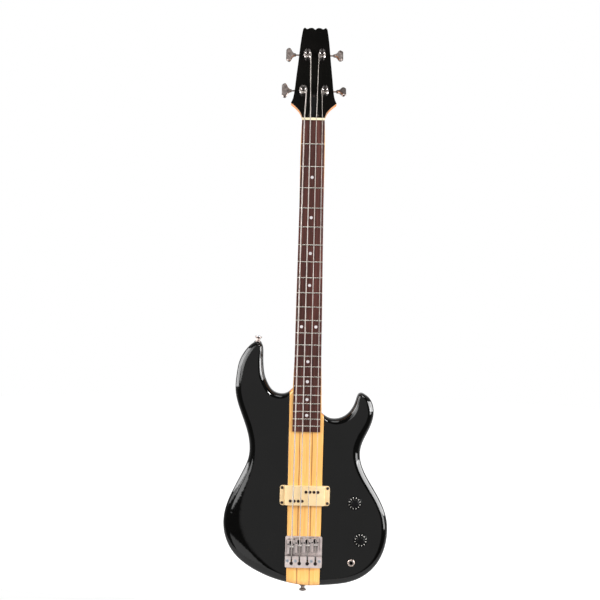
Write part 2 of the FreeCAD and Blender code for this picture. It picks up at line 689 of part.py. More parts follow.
def string_tube(name):
    """One string from its ball end over saddle and nut to its wraps on the post."""
    _, side, _, diameter, _, _ = next(row for row in STRINGS if row[0] == name)
    ball, crest, nut = string_lines()[name]
    place = post_places()[name]
    radius = POST_RADIUS + CLEARANCE + diameter / 2
    pitch = diameter + WRAP_GAP
    base = OVERLAY + FERRULE_HEIGHT + WRAP_BASE + diameter / 2
    at_nut = HEAD.inverse().multVec(nut)
    to_nut = math.atan2(at_nut.y - place.y, at_nut.x - place.x)
    distance = math.hypot(at_nut.x - place.x, at_nut.y - place.y)
    wind = -side
    start_turn = to_nut + wind * math.acos(radius / distance)
    nodes = wrap_nodes(place, wind, radius, pitch, start_turn, base)
    leave, leave_way = nodes[0]
    nodes[0] = (leave, (leave - nut).normalize())

    start = ball + (crest - ball).normalize() * (BALL_RADIUS + SNUG)
    edges = []
    here = start
    route = (start, crest, nut, leave)
    for before, corner, after in zip(route, route[1:], route[2:]):
        first, middle, last = bend(before, corner, after, STRING_BEND_RADIUS)
        edges += [Part.makeLine(here, first), Part.Arc(first, middle, last).toShape()]
        here = last
    edges.append(Part.makeLine(here, leave))
    wrap = []
    for (point, way), (following, next_way) in zip(nodes, nodes[1:]):
        wrap += biarc(point, way, following, next_way)
    end, end_way = nodes[-1]
    wrap.append(Part.makeLine(end, end + end_way * diameter))
    report_wrap_gap(name, wrap, diameter)
    path = Part.Wire(Part.__sortEdges__(edges + wrap))
    section = Part.Wire([Part.makeCircle(diameter / 2, start, (crest - ball).normalize())])
    tube = path.makePipeShell([section], True, False)
    expected = math.pi * diameter ** 2 / 4 * path.Length
    print("string", name, "volume over section times length:", round(tube.Volume / expected, 4))
    return tube


def report_wrap_gap(name, wrap, diameter):
    """Print the least gap between two turns of a wrap, measured on points."""
    points = []
    for edge in wrap:
        points += edge.discretize(Number=12)
    apart = len(points) // (2 * WRAP_TURNS)
    least = min(
        points[i].distanceToPoint(points[j])
        for i in range(len(points)) for j in range(i + apart, len(points))
    )
    print("string", name, "least gap between its turns:", round(least - diameter, 2), "mm")


def neck_tools():
    """Cuts in the through neck: truss rod, tuners, pickup, bridge and pin holes."""
    rod_y = FRONT_Y + ROD_DEPTH
    half = ROD_RADIUS + SNUG
    channel = box(
        Vec(-half, FRONT_Y - OVERRUN, NUT_Z - ROD_REACH - SNUG),
        Vec(half, rod_y + half, NUT_Z + NUT_THICKNESS + OVERRUN),
    )
    tools = [channel, rod_slot(), pickup_cavity()]
    for place in post_places().values():
        far = Vec(0, 0, -HEAD_THICKNESS - OVERRUN)
        tools.append(on_head(rod(FERRULE_TUBE_RADIUS + SNUG, place + Vec(0, 0, OVERRUN), place + far)))
    tools += tuner_screws() + bridge_screws() + cover_screws() + [tail_pin_tool()]
    return tools


def rod_slot():
    """Open slot in the headstock for the end of the truss rod."""
    floor = FRONT_Y + ROD_DEPTH + ROD_SLOT_ROOM
    return box(
        Vec(-ROD_SLOT_HALF_WIDTH, FRONT_Y - OVERRUN, NUT_Z + NUT_THICKNESS),
        Vec(ROD_SLOT_HALF_WIDTH, floor, NUT_Z + ROD_SLOT_REACH),
    )


def neck_blank(body):
    """Through neck in one piece: body core, neck and headstock."""
    head = on_head(headstock_face().extrude(Vec(0, 0, -HEAD_THICKNESS)))
    reach = HEAD_EAR_HALF_WIDTH * 2
    ahead = on_head(box(Vec(-reach, -OVERRUN, 0), Vec(reach, reach, reach)))
    above_nut = box(
        Vec(-reach, FRONT_Y - reach, NUT_Z + NUT_THICKNESS), Vec(reach, BACK_Y + reach, NUT_Z + reach)
    )
    shaft = neck_shaft().cut(ahead.common(above_nut))
    blank = body.common(core_slab()).multiFuse([shaft, head])
    return blank.cut(neck_tools())


def laminations(blank):
    """Maple core, maple sides and walnut strips sawn from the through neck."""
    inner = STRIP_OFFSET - STRIP_WIDTH / 2
    outer = STRIP_OFFSET + STRIP_WIDTH / 2
    reach = HEAD_EAR_HALF_WIDTH + OVERRUN
    top = NUT_Z + NUT_THICKNESS + HEAD_LENGTH + OVERRUN

    def slice_between(left, right):
        tool = box(Vec(left, -BODY_THICKNESS, 0), Vec(right, BODY_THICKNESS * 2, top))
        return blank.common(tool).Solids

    core = slice_between(-inner, inner)
    strips = slice_between(-outer, -inner) + slice_between(inner, outer)
    sides = slice_between(-reach, -outer) + slice_between(outer, reach)
    return core, strips, sides


def headstock_overlay():
    """Thin black facing on the headstock."""
    facing = on_head(headstock_face().extrude(Vec(0, 0, OVERLAY)))
    tools = [rod_slot()] + cover_screws()
    for place in post_places().values():
        tools.append(on_head(rod(FERRULE_TUBE_RADIUS + SNUG, place, place + Vec(0, 0, OVERRUN))))
    return facing.cut(tools)


def nut():
    """Slotted nut that the strings cross."""
    half = board_half_width(0)
    block = box(
        Vec(-half, FRONT_Y - NUT_RISE, NUT_Z), Vec(half, FRONT_Y, NUT_Z + NUT_THICKNESS)
    )
    crown = rod(
        BOARD_RADIUS, Vec(0, FRONT_Y - NUT_RISE + BOARD_RADIUS, NUT_Z - OVERRUN),
        Vec(0, FRONT_Y - NUT_RISE + BOARD_RADIUS, NUT_Z + NUT_THICKNESS + OVERRUN),
    )
    slots = []
    for name, _, _, diameter, _, _ in STRINGS:
        _, _, middle = string_lines()[name]
        room = diameter / 2 + CLEARANCE / 2
        floor = middle.y + room
        low = Vec(middle.x - room, FRONT_Y - NUT_RISE - OVERRUN, NUT_Z - OVERRUN)
        slots.append(box(low, Vec(middle.x + room, floor, NUT_Z + NUT_THICKNESS + OVERRUN)))
    return block.common(crown).cut(slots)


def rod_point(height):
    """Point on the truss rod's line at a height above the nut's front."""
    return Vec(0, FRONT_Y + ROD_DEPTH, NUT_Z + height)


def truss_rod():
    """Steel rod in the neck with the hexagon nut that draws it tight behind the string nut."""
    shaft = rod(ROD_RADIUS, rod_point(-ROD_REACH), rod_point(ROD_NUT_START))
    shaft = shaft.fuse(rod(ROD_END_RADIUS, rod_point(ROD_NUT_START), rod_point(ROD_END_REACH)))
    corners = [
        rod_point(ROD_NUT_START) + Vec(math.cos(turn), math.sin(turn), 0) * ROD_NUT_RADIUS
        for turn in (math.pi * side / 3 for side in range(6))
    ]
    bore = rod(
        ROD_END_RADIUS + SNUG, rod_point(ROD_NUT_START - OVERRUN),
        rod_point(ROD_NUT_START + ROD_NUT_LENGTH + OVERRUN),
    )
    return [shaft, prism(corners, Vec(0, 0, ROD_NUT_LENGTH)).cut(bore)]


def truss_rod_cover():
    """Bell-shaped plate over the truss rod's slot."""

    def spot(across, along):
        return Vec(across * COVER_HALF_WIDTH, COVER_START + along * COVER_LENGTH, OVERLAY)

    right = [spot(across, along) for across, along in COVER_SHARES]
    left = [spot(-across, along) for across, along in COVER_SHARES]
    edges = [spline(right), spline(left[::-1]), Part.makeLine(left[0], right[0])]
    plate = Part.Face(Part.Wire(edges)).extrude(Vec(0, 0, COVER_THICKNESS))
    return on_head(plate).cut(cover_screws())


def cover_screws():
    """Three small screws of the truss rod's cover."""
    places = (
        (0, COVER_TOP_SCREW_ALONG), (COVER_LOW_SCREW_ACROSS, COVER_LOW_SCREW_ALONG),
        (-COVER_LOW_SCREW_ACROSS, COVER_LOW_SCREW_ALONG),
    )
    return [
        on_head(wood_screw(
            SMALL_SCREW_RADIUS, SMALL_SCREW_LENGTH, SMALL_SCREW_HEAD_RADIUS, SMALL_SCREW_HEAD,
            Vec(across, along, OVERLAY + COVER_THICKNESS), Vec(0, 0, -1),
        ))
        for across, along in places
    ]


def tuner_plate():
    """Back plate of a tuner with two lugs that carry the key shaft."""
    back = -HEAD_THICKNESS
    blank = box(Vec(-PLATE_INNER, -PLATE_LOW, back - PLATE_THICKNESS), Vec(PLATE_OUTER, PLATE_HIGH, back))
    upright = [edge for edge in blank.Edges if abs(edge.tangentAt(edge.FirstParameter).z) > 0.5]
    plate = blank.makeFillet(PLATE_CORNER, upright)
    level = key_level()
    lugs = []
    for inner in (WORM_HALF_LENGTH + LUG_GAP, -WORM_HALF_LENGTH - LUG_GAP - LUG_THICKNESS):
        low = Vec(inner, WORM_OFFSET - LUG_HALF_WIDTH, level)
        lugs.append(box(low, Vec(inner + LUG_THICKNESS, WORM_OFFSET + LUG_HALF_WIDTH, back)))
        lug_start = Vec(inner, WORM_OFFSET, level)
        lugs.append(rod(LUG_HALF_WIDTH, lug_start, lug_start + Vec(LUG_THICKNESS, 0, 0)))
    plate = plate.multiFuse(lugs)
    reach = BUTTON_START
    hole_start = Vec(-reach, WORM_OFFSET, level)
    shaft_hole = rod(KEY_RADIUS + RUNNING_FIT, hole_start, hole_start + Vec(2 * reach, 0, 0))
    post_hole = rod(POST_RADIUS + RUNNING_FIT, Vec(0, 0, back + OVERRUN), Vec(0, 0, back - OVERRUN))
    return plate.cut([shaft_hole, post_hole])


def key_level():
    """Level of the key shafts behind the headstock's maple face."""
    return gear_top() - GEAR_THICKNESS / 2


def gear_top():
    """Level of the worm wheels' front faces."""
    return -HEAD_THICKNESS - PLATE_THICKNESS - GEAR_STANDOFF


def plate_screw_places():
    """Screw places of a tuner plate about its post."""
    sides = (-PLATE_INNER + PLATE_SCREW_INSET, PLATE_OUTER - PLATE_SCREW_INSET)
    ends = (-PLATE_LOW + PLATE_SCREW_INSET, PLATE_HIGH - PLATE_SCREW_INSET)
    return [(across, along) for across in sides for along in ends]


def tuner_screws():
    """Four screws in each tuner plate."""
    screws = []
    for name, side, _, _, _, _ in STRINGS:
        for across, along in plate_screw_places():
            seat = Vec(across, along, -HEAD_THICKNESS - PLATE_THICKNESS)
            screw = wood_screw(
                SMALL_SCREW_RADIUS, SMALL_SCREW_LENGTH, SMALL_SCREW_HEAD_RADIUS, SMALL_SCREW_HEAD,
                seat, Vec(0, 0, 1),
            )
            screws.append(on_post(screw, name, side))
    return screws


def tuner_ferrule():
    """Ring on the headstock's face that guides a post."""
    inner = POST_RADIUS + RUNNING_FIT
    lip = FERRULE_HEIGHT / 2
    profile = [
        (inner, OVERLAY - FERRULE_TUBE_LENGTH), (FERRULE_TUBE_RADIUS, OVERLAY - FERRULE_TUBE_LENGTH),
        (FERRULE_TUBE_RADIUS, OVERLAY), (FERRULE_RADIUS, OVERLAY), (FERRULE_RADIUS, OVERLAY + lip),
        (FERRULE_TUBE_RADIUS, OVERLAY + FERRULE_HEIGHT), (inner, OVERLAY + FERRULE_HEIGHT),
    ]
    return turned(profile, Vec(), Vec(0, 0, 1))


def tuner_post():
    """Slotted post that a string winds on."""
    neck = POST_TOP - POST_FLARE_LENGTH
    profile = [
        (0, gear_top()), (POST_RADIUS, gear_top()), (POST_RADIUS, neck - POST_FLARE),
        (POST_RADIUS + POST_FLARE, neck), (POST_RADIUS + POST_FLARE, POST_TOP - POST_FLARE),
        (POST_RADIUS, POST_TOP), (0, POST_TOP),
    ]
    post = turned(profile, Vec(), Vec(0, 0, 1))
    reach = POST_RADIUS + OVERRUN
    slot = box(
        Vec(-POST_SLOT_WIDTH / 2, -reach, POST_TOP - POST_SLOT_DEPTH),
        Vec(POST_SLOT_WIDTH / 2, reach, POST_TOP + OVERRUN),
    )
    bore = rod(POST_BORE_RADIUS, Vec(0, 0, POST_TOP - POST_BORE_DEPTH), Vec(0, 0, POST_TOP + OVERRUN))
    return post.cut([slot, bore])


def worm_wheel():
    """Toothed wheel on the back end of a post, and the screw that holds it."""
    root = GEAR_RADIUS - GEAR_TOOTH_DROP
    tip = GEAR_RADIUS + GEAR_TOOTH_HEIGHT
    pitch = 2 * math.pi / GEAR_TEETH
    points = []
    for tooth in range(GEAR_TEETH):
        middle = pitch * tooth + math.pi / 2
        for radius, offset in (
            (root, -GEAR_ROOT_SHARE / 2), (tip, -GEAR_TIP_SHARE / 2),
            (tip, GEAR_TIP_SHARE / 2), (root, GEAR_ROOT_SHARE / 2),
        ):
            turn = middle + offset * pitch
            points.append(Vec(radius * math.cos(turn), radius * math.sin(turn), gear_top()))
    wheel = prism(points, Vec(0, 0, -GEAR_THICKNESS))
    back = gear_top() - GEAR_THICKNESS
    hub = rod(GEAR_HUB_RADIUS, Vec(0, 0, back), Vec(0, 0, back - GEAR_HUB))
    low = back - GEAR_HUB
    screw = turned(
        [(0, low), (GEAR_SCREW_RADIUS, low), (GEAR_SCREW_RADIUS, low - GEAR_SCREW_HEAD / 2),
         (GEAR_SCREW_RADIUS - GEAR_SCREW_HEAD / 2, low - GEAR_SCREW_HEAD), (0, low - GEAR_SCREW_HEAD)],
        Vec(), Vec(0, 0, 1),
    )
    return [wheel.fuse(hub), screw]


def worm_shaft():
    """Key shaft with the core of its worm, along the way out to the button."""
    level = key_level()

    def spot(out):
        return Vec(out, WORM_OFFSET, level)

    inner_end = -WORM_HALF_LENGTH - LUG_GAP - LUG_THICKNESS - LUG_GAP
    shaft = rod(KEY_RADIUS, spot(inner_end), spot(BUTTON_START + BUTTON_LENGTH / 2))
    core = rod(WORM_CORE_RADIUS, spot(-WORM_HALF_LENGTH), spot(WORM_HALF_LENGTH))
    return shaft.fuse(core)


def tuner_button(turn):
    """Fan-shaped button on the key shaft, turned about it."""
    level = key_level()

    def spot(out, up):
        return Vec(
            BUTTON_START + out * BUTTON_LENGTH, WORM_OFFSET + up * BUTTON_HALF_HEIGHT,
            level - BUTTON_THICKNESS / 2,
        )

    upper = [spot(out, up) for out, up in BUTTON_SHARES]
    lower = [spot(out, -up) for out, up in BUTTON_SHARES]
    edges = [
        spline(upper), Part.makeLine(upper[-1], lower[-1]), spline(lower[::-1]),
        Part.makeLine(lower[0], upper[0]),
    ]
    blank = Part.Face(Part.Wire(edges)).extrude(Vec(0, 0, BUTTON_THICKNESS))
    rims = [edge for edge in blank.Edges if abs(edge.tangentAt(edge.FirstParameter).z) < 0.5]
    button = blank.makeChamfer(BUTTON_EDGE, rims)
    middle = Vec(BUTTON_START, WORM_OFFSET, level)
    button = button.cut(rod(KEY_RADIUS, middle, middle + Vec(BUTTON_LENGTH / 2, 0, 0)))
    button.rotate(middle, Vec(1, 0, 0), turn)
    return button


def bridge_base():
    """Bridge plate with a raised tail block that holds the ball ends."""
    middle = Vec(0, FRONT_Y, BRIDGE_FRONT_Z - BRIDGE_LENGTH / 2)
    plate = front_plate(BRIDGE_WIDTH, BRIDGE_LENGTH, BRIDGE_BASE, BRIDGE_CORNER, middle)
    outline = front_plate(BRIDGE_WIDTH, BRIDGE_LENGTH, TAIL_BLOCK_HEIGHT, BRIDGE_CORNER, middle)
    reach = Vec(BRIDGE_WIDTH, 0, 0)
    keep = box(
        Vec(-BRIDGE_WIDTH, FRONT_Y - TAIL_BLOCK_HEIGHT, BRIDGE_TAIL_Z),
        Vec(BRIDGE_WIDTH, FRONT_Y, BRIDGE_TAIL_Z + TAIL_BLOCK_LENGTH),
    )
    base = plate.fuse(outline.common(keep))
    tools = bridge_screws() + saddle_lock_screws()
    hole_z = BRIDGE_TAIL_Z + KEYHOLE_INSET
    roof_y = FRONT_Y - TAIL_BLOCK_HEIGHT + TAIL_BLOCK_ROOF
    floor_y = FRONT_Y - TAIL_BLOCK_FLOOR
    for ball, _, _ in string_lines().values():
        hole = Vec(ball.x, floor_y, hole_z)
        tools.append(rod(KEYHOLE_RADIUS, hole, hole + TO_FRONT * TAIL_BLOCK_HEIGHT))
        tools.append(box(
            Vec(ball.x - KEYHOLE_RADIUS, roof_y, hole_z),
            Vec(ball.x + KEYHOLE_RADIUS, floor_y, hole_z + BALL_POCKET_REACH),
        ))
        tools.append(box(
            Vec(ball.x - KEYHOLE_SLOT / 2, FRONT_Y - TAIL_BLOCK_HEIGHT - OVERRUN, hole_z),
            Vec(ball.x + KEYHOLE_SLOT / 2, BRIDGE_Y, BRIDGE_TAIL_Z + TAIL_BLOCK_LENGTH + OVERRUN),
        ))
    return base.cut(tools)


def bridge_screws():
    """Screws that hold the bridge down: a row in the tail block and one in front."""
    screws = []
    row_z = BRIDGE_TAIL_Z + BRIDGE_SCREW_ROW
    for step in (-2, -1, 1, 2):
        seat = Vec(step * SADDLE_PITCH, FRONT_Y - TAIL_BLOCK_HEIGHT, row_z)
        screws.append(countersunk_screw(seat))
    front_z = BRIDGE_FRONT_Z - BRIDGE_FRONT_SCREW - BRIDGE_SCREW_HEAD_RADIUS
    screws.append(countersunk_screw(Vec(0, BRIDGE_Y, front_z)))
    return screws


def countersunk_screw(seat):
    """Bridge screw whose head is level with its seat."""
    drop = BRIDGE_SCREW_HEAD_RADIUS - BRIDGE_SCREW_RADIUS
    profile = [
        (0, 0), (BRIDGE_SCREW_HEAD_RADIUS, 0), (BRIDGE_SCREW_RADIUS, drop),
        (BRIDGE_SCREW_RADIUS, BRIDGE_SCREW_LENGTH - BRIDGE_SCREW_RADIUS), (0, BRIDGE_SCREW_LENGTH),
    ]
    return turned(profile, seat, TO_BACK)


def saddle_place(name):
    """Point on the bridge plate under the crest of a saddle."""
    _, crest, _ = string_lines()[name]
    return Vec(crest.x - SADDLE_SHIFT, BRIDGE_Y, crest.z)


def saddle_lock_screws():
    """Screws that clamp the saddles through their slots."""
    screws = []
    for name, _, _, _, _, _ in STRINGS:
        middle = saddle_place(name) + Vec(0, 0, LOCK_SCREW_AHEAD)
        under = middle + TO_FRONT * (LOCK_LEDGE + CLEARANCE / 2)
        shank = rod(LOCK_SCREW_RADIUS, middle + TO_BACK * BRIDGE_BASE, under)
        head = rod(LOCK_SCREW_HEAD_RADIUS, under, under + TO_FRONT * LOCK_SCREW_HEAD)
        screws.append(shank.fuse(head))
    return screws


def saddle(name):
    """Saddle block with its crest, string channel, lock slot and two height screws."""
    place = saddle_place(name)
    half = SADDLE_WIDTH / 2

    def spot(across, up, ahead):
        return place + Vec(across, -up, ahead)

    block = box(spot(-half, SADDLE_HEIGHT, -SADDLE_BACK), spot(half, SADDLE_FLOAT, SADDLE_FRONT))
    crest_up = SADDLE_STRING_RISE - BRIDGE_BASE
    crest_half = SADDLE_CREST_WIDTH / 2
    lean = SADDLE_SHIFT
    arc_up = crest_up - SADDLE_CREST_RADIUS
    crest = rod(
        SADDLE_CREST_RADIUS, spot(lean - crest_half, arc_up, 0), spot(lean + crest_half, arc_up, 0)
    ).fuse(box(
        spot(lean - crest_half, arc_up, -SADDLE_CREST_RADIUS),
        spot(lean + crest_half, SADDLE_FLOAT, SADDLE_CREST_RADIUS),
    ))
    channel_half = SADDLE_CHANNEL_WIDTH / 2
    channel = box(
        spot(lean - channel_half, SADDLE_HEIGHT + OVERRUN, -SADDLE_BACK - OVERRUN),
        spot(lean + channel_half, SADDLE_CHANNEL_FLOOR, -SADDLE_CREST_RADIUS),
    )
    run = [
        spot(0, 0, LOCK_SCREW_AHEAD - SADDLE_TRAVEL), spot(0, 0, LOCK_SCREW_AHEAD),
    ]
    up = TO_FRONT * (SADDLE_HEIGHT + OVERRUN)
    slot = capsule_chain(LOCK_SCREW_RADIUS + CLEARANCE, run, up)
    ledge = [point + TO_FRONT * LOCK_LEDGE for point in run]
    recess = capsule_chain(LOCK_SCREW_HEAD_RADIUS + CLEARANCE, ledge, up)
    holes = []
    screws = []
    for side in (-1, 1):
        foot = spot(side * HEIGHT_SCREW_OFFSET, HEIGHT_SCREW_STAND, HEIGHT_SCREW_AHEAD)
        holes.append(rod(HEIGHT_SCREW_RADIUS + SNUG, foot, foot + up))
        screws.append(rod(HEIGHT_SCREW_RADIUS, foot, foot + TO_FRONT * HEIGHT_SCREW_TOP))
    body = block.cut([channel]).fuse(crest).cut([slot, recess] + holes)
    return [body] + screws


def pickup_middle():
    """Middle of the pickup on the body's face."""
    return Vec(0, FRONT_Y, PICKUP_Z)


def pole_places():
    """Places of the pole magnets, bass row then treble row."""
    places = []
    for side in (-1, 1):
        for index in range(POLE_COUNT):
            across = side * POLE_ROW_ACROSS + (index - (POLE_COUNT - 1) / 2) * POLE_PITCH
            places.append(pickup_middle() + Vec(across - POLE_SHIFT, 0, side * POLE_ROW_ALONG - POLE_DROP))
    return places


def pickup_cavity():
    """Pocket in the body under the pickup."""
    width = PICKUP_BLOCK_WIDTH - 2 * PICKUP_BLOCK_CORNER
    height = PICKUP_HEIGHT - 2 * PICKUP_BLOCK_CORNER
    floor = pickup_middle() + TO_BACK * PICKUP_CAVITY_DEPTH
    return front_plate(width, height, PICKUP_CAVITY_DEPTH + OVERRUN, PICKUP_BLOCK_CORNER, floor)


def pickup_cover():
    """Cream cover: a raised block between two ears, hollow below."""
    middle = pickup_middle()
    ears = front_plate(PICKUP_WIDTH, PICKUP_HEIGHT, PICKUP_EAR, PICKUP_EAR_CORNER, middle)
    block = front_plate(PICKUP_BLOCK_WIDTH, PICKUP_HEIGHT, PICKUP_RISE, PICKUP_BLOCK_CORNER, middle)
    top = FRONT_Y - PICKUP_RISE
    rim = [edge for edge in block.Edges if abs(edge.BoundBox.YMax - top) < SNUG]
    block = block.makeFillet(PICKUP_EDGE, rim)
    hollow = front_plate(
        PICKUP_BLOCK_WIDTH - 2 * PICKUP_WALL, PICKUP_HEIGHT - 2 * PICKUP_WALL,
        PICKUP_RISE - PICKUP_WALL, PICKUP_BLOCK_CORNER, middle,
    )
    rise = TO_FRONT * (PICKUP_RISE + OVERRUN)
    holes = [rod(POLE_RADIUS + SNUG, place, place + rise) for place in pole_places()]
    return ears.fuse(block).cut([hollow] + holes + pickup_screws())


def pickup_poles():
    """Pole magnets that stand through the cover."""
    low = TO_FRONT * (PICKUP_RISE - PICKUP_WALL - COIL_DEPTH)
    high = TO_FRONT * (PICKUP_RISE + POLE_PROUD)
    return [rod(POLE_RADIUS, place + low, place + high) for place in pole_places()]


def pickup_coils():
    """Two wound coils, one round each row of poles."""
    top = PICKUP_RISE - PICKUP_WALL - SNUG
    places = pole_places()
    coils = []
    for row in (places[:POLE_COUNT], places[POLE_COUNT:]):
        ends = [row[0] + TO_FRONT * (top - COIL_DEPTH), row[-1] + TO_FRONT * (top - COIL_DEPTH)]
        coil = capsule_chain(POLE_RADIUS + COIL_MARGIN, ends, TO_FRONT * COIL_DEPTH)
        holes = [
            rod(POLE_RADIUS + SNUG, place + TO_BACK * COIL_DEPTH, place + TO_FRONT * COIL_DEPTH)
            for place in row
        ]
        coils.append(coil.cut(holes))
    return coils


def pickup_base():
    """Plate under the coils."""
    width = PICKUP_BLOCK_WIDTH - 2 * PICKUP_BLOCK_CORNER - 2 * CLEARANCE
    height = PICKUP_HEIGHT - 2 * PICKUP_BLOCK_CORNER - 2 * CLEARANCE
    low = PICKUP_RISE - PICKUP_WALL - COIL_DEPTH - SNUG
    return front_plate(
        width, height, PICKUP_BASE, PICKUP_BLOCK_CORNER, pickup_middle() + TO_FRONT * (low - PICKUP_BASE)
    )


def pickup_screws():
    """Corner screws of the pickup."""
    screws = []
    for across in (-PICKUP_SCREW_ACROSS, PICKUP_SCREW_ACROSS):
        for along in (-PICKUP_SCREW_ALONG, PICKUP_SCREW_ALONG):
            seat = pickup_middle() + Vec(across, -PICKUP_EAR, along)
            screws.append(wood_screw(
                PICKUP_SCREW_RADIUS, PICKUP_SCREW_LENGTH, PICKUP_SCREW_HEAD_RADIUS, PICKUP_SCREW_HEAD,
                seat, TO_BACK,
            ))
    return screws


def control_chain(radius, level, run):
    """Slot that takes in both pots and the jack, from a level along a run."""
    points = [CONTROLS[name] + TO_BACK * (level - FRONT_Y) for name in ("volume", "tone", "jack")]
    return capsule_chain(radius, points, run)


def control_screws():
    """Screws round the control cover."""
    screws = []
    for name, degrees in CONTROL_SCREW_ANGLES:
        turn = math.radians(degrees)
        out = Vec(math.cos(turn), 0, math.sin(turn)) * CONTROL_SCREW_RING
        seat = CONTROLS[name] + out + TO_BACK * BODY_THICKNESS
        screws.append(wood_screw(
            SMALL_SCREW_RADIUS, SMALL_SCREW_LENGTH, SMALL_SCREW_HEAD_RADIUS, SMALL_SCREW_HEAD,
            seat, TO_FRONT,
        ))
    return screws


def control_cover():
    """Plate that closes the control cavity, level with the back."""
    level = BACK_Y - CONTROL_COVER_THICKNESS
    cover = control_chain(CONTROL_COVER_RADIUS - CONTROL_COVER_GAP, level, TO_BACK * CONTROL_COVER_THICKNESS)
    return cover.cut(control_screws())


def lead_line():
    """Start of the pickup's lead at the side of its pocket, and the volume pot's middle beside it."""
    level = Vec(0, FRONT_Y + PICKUP_CAVITY_DEPTH / 2 + WIRE_HOLE_RADIUS, 0)
    start = Vec(PICKUP_BLOCK_WIDTH / 2 - PICKUP_BLOCK_CORNER, 0, PICKUP_Z) + level
    return start, Vec(VOLUME_ACROSS, 0, CONTROLS["volume"].z) + level


def control_tools():
    """Cuts in the treble wing for the controls."""
    recess_y = BACK_Y - CONTROL_COVER_THICKNESS
    cavity = control_chain(CAVITY_RADIUS, CAVITY_Y, TO_BACK * BODY_THICKNESS)
    recess = control_chain(CONTROL_COVER_RADIUS, recess_y, TO_BACK * BODY_THICKNESS)
    start, end = lead_line()
    wire = rod(WIRE_HOLE_RADIUS, start + (start - end).normalize() * OVERRUN, end)
    tools = [cavity, recess, wire] + control_screws()
    bores = (("volume", POT_BUSH_RADIUS), ("tone", POT_BUSH_RADIUS), ("jack", JACK_BARREL_RADIUS))
    for name, radius in bores:
        middle = CONTROLS[name]
        wall_back = middle + TO_BACK * CAVITY_FRONT_WALL * 2
        tools.append(rod(radius + SNUG, middle + TO_FRONT * OVERRUN, wall_back))
    return tools


def pot(name):
    """Potentiometer with its threaded bush through the body."""
    ceiling = CONTROLS[name] + TO_BACK * CAVITY_FRONT_WALL
    can = rod(POT_RADIUS, ceiling, ceiling + TO_BACK * POT_DEPTH)
    bush = rod(POT_BUSH_RADIUS, ceiling, CONTROLS[name] + TO_FRONT * POT_NUT)
    bore = rod(
        POT_SHAFT_RADIUS + RUNNING_FIT, ceiling + TO_BACK * (POT_SHAFT_ROOT + CLEARANCE),
        CONTROLS[name] + TO_FRONT * (POT_NUT + OVERRUN),
    )
    return can.fuse(bush).cut(bore)


def pot_nut(name):
    """Hexagon nut that holds a pot on the body's face."""
    start = CONTROLS[name]
    corners = [
        start + Vec(math.cos(turn), 0, math.sin(turn)) * POT_NUT_RADIUS
        for turn in (math.pi * side / 3 for side in range(6))
    ]
    bore = rod(POT_BUSH_RADIUS + SNUG, start + TO_BACK * OVERRUN, start + TO_FRONT * (POT_NUT + OVERRUN))
    return prism(corners, TO_FRONT * POT_NUT).cut(bore)


def knob(name):
    """Skirted knob and the pot shaft that it is pressed on."""
    foot = CONTROLS[name] + TO_FRONT * KNOB_FLOAT
    tip = POT_SHAFT_TIP - KNOB_FLOAT
    profile = [
        (KNOB_HOLLOW_RADIUS, 0), (KNOB_SKIRT_RADIUS, 0), (KNOB_SKIRT_RADIUS, KNOB_SKIRT - KNOB_EDGE),
        (KNOB_SKIRT_RADIUS - KNOB_EDGE, KNOB_SKIRT), (KNOB_GRIP_RADIUS + KNOB_EDGE, KNOB_SKIRT + KNOB_EDGE),
        (KNOB_GRIP_RADIUS, KNOB_NECK), (KNOB_GRIP_RADIUS - KNOB_EDGE / 2, KNOB_HEIGHT - KNOB_EDGE),
        (KNOB_GRIP_RADIUS - KNOB_EDGE * 3 / 2, KNOB_HEIGHT), (0, KNOB_HEIGHT), (0, tip),
        (POT_SHAFT_RADIUS, tip), (POT_SHAFT_RADIUS, KNOB_HOLLOW), (KNOB_HOLLOW_RADIUS, KNOB_HOLLOW),
    ]
    cap = turned(profile, foot, TO_FRONT)
    root = CONTROLS[name] + TO_BACK * (CAVITY_FRONT_WALL + POT_SHAFT_ROOT)
    shaft = rod(POT_SHAFT_RADIUS, root, CONTROLS[name] + TO_FRONT * POT_SHAFT_TIP)
    return [cap, shaft]


def jack_socket():
    """Barrel jack with its bore open on the body's face."""
    face = CONTROLS["jack"]
    ceiling = face + TO_BACK * CAVITY_FRONT_WALL
    mouth = face + TO_FRONT * (JACK_NUT + JACK_PROUD)
    barrel = rod(JACK_BARREL_RADIUS, ceiling, mouth)
    body = rod(JACK_BODY_RADIUS, ceiling, ceiling + TO_BACK * JACK_BODY_LENGTH)
    bore = rod(JACK_BORE_RADIUS, mouth + TO_FRONT * OVERRUN, mouth + TO_BACK * JACK_BORE_LENGTH)
    return barrel.fuse(body).cut(bore)


def wires():
    """Leads from the pickup through the pots to the jack, with a little slack."""
    level = Vec(0, FRONT_Y + PICKUP_CAVITY_DEPTH / 2 + WIRE_HOLE_RADIUS, 0)
    middles = {name: Vec(point.x, 0, point.z) + level for name, point in CONTROLS.items()}
    start, end = lead_line()
    leads = [rod(WIRE_RADIUS, start, end + (start - end).normalize() * (POT_RADIUS + CLEARANCE))]
    for first, second, radius in (("volume", "tone", POT_RADIUS), ("tone", "jack", JACK_BODY_RADIUS)):
        run = (middles[second] - middles[first]).normalize()
        side = run.cross(TO_BACK)
        way = (run + side * WIRE_SLACK_SHARE).normalize()
        back = (run - side * WIRE_SLACK_SHARE).normalize()
        here = middles[first] + way * (POT_RADIUS + CLEARANCE)
        there = middles[second] - back * (radius + CLEARANCE)
        path = Part.Wire(biarc(here, way, there, back))
        section = Part.Wire([Part.makeCircle(WIRE_RADIUS, here, way)])
        leads.append(path.makePipeShell([section], True, False))
    return leads


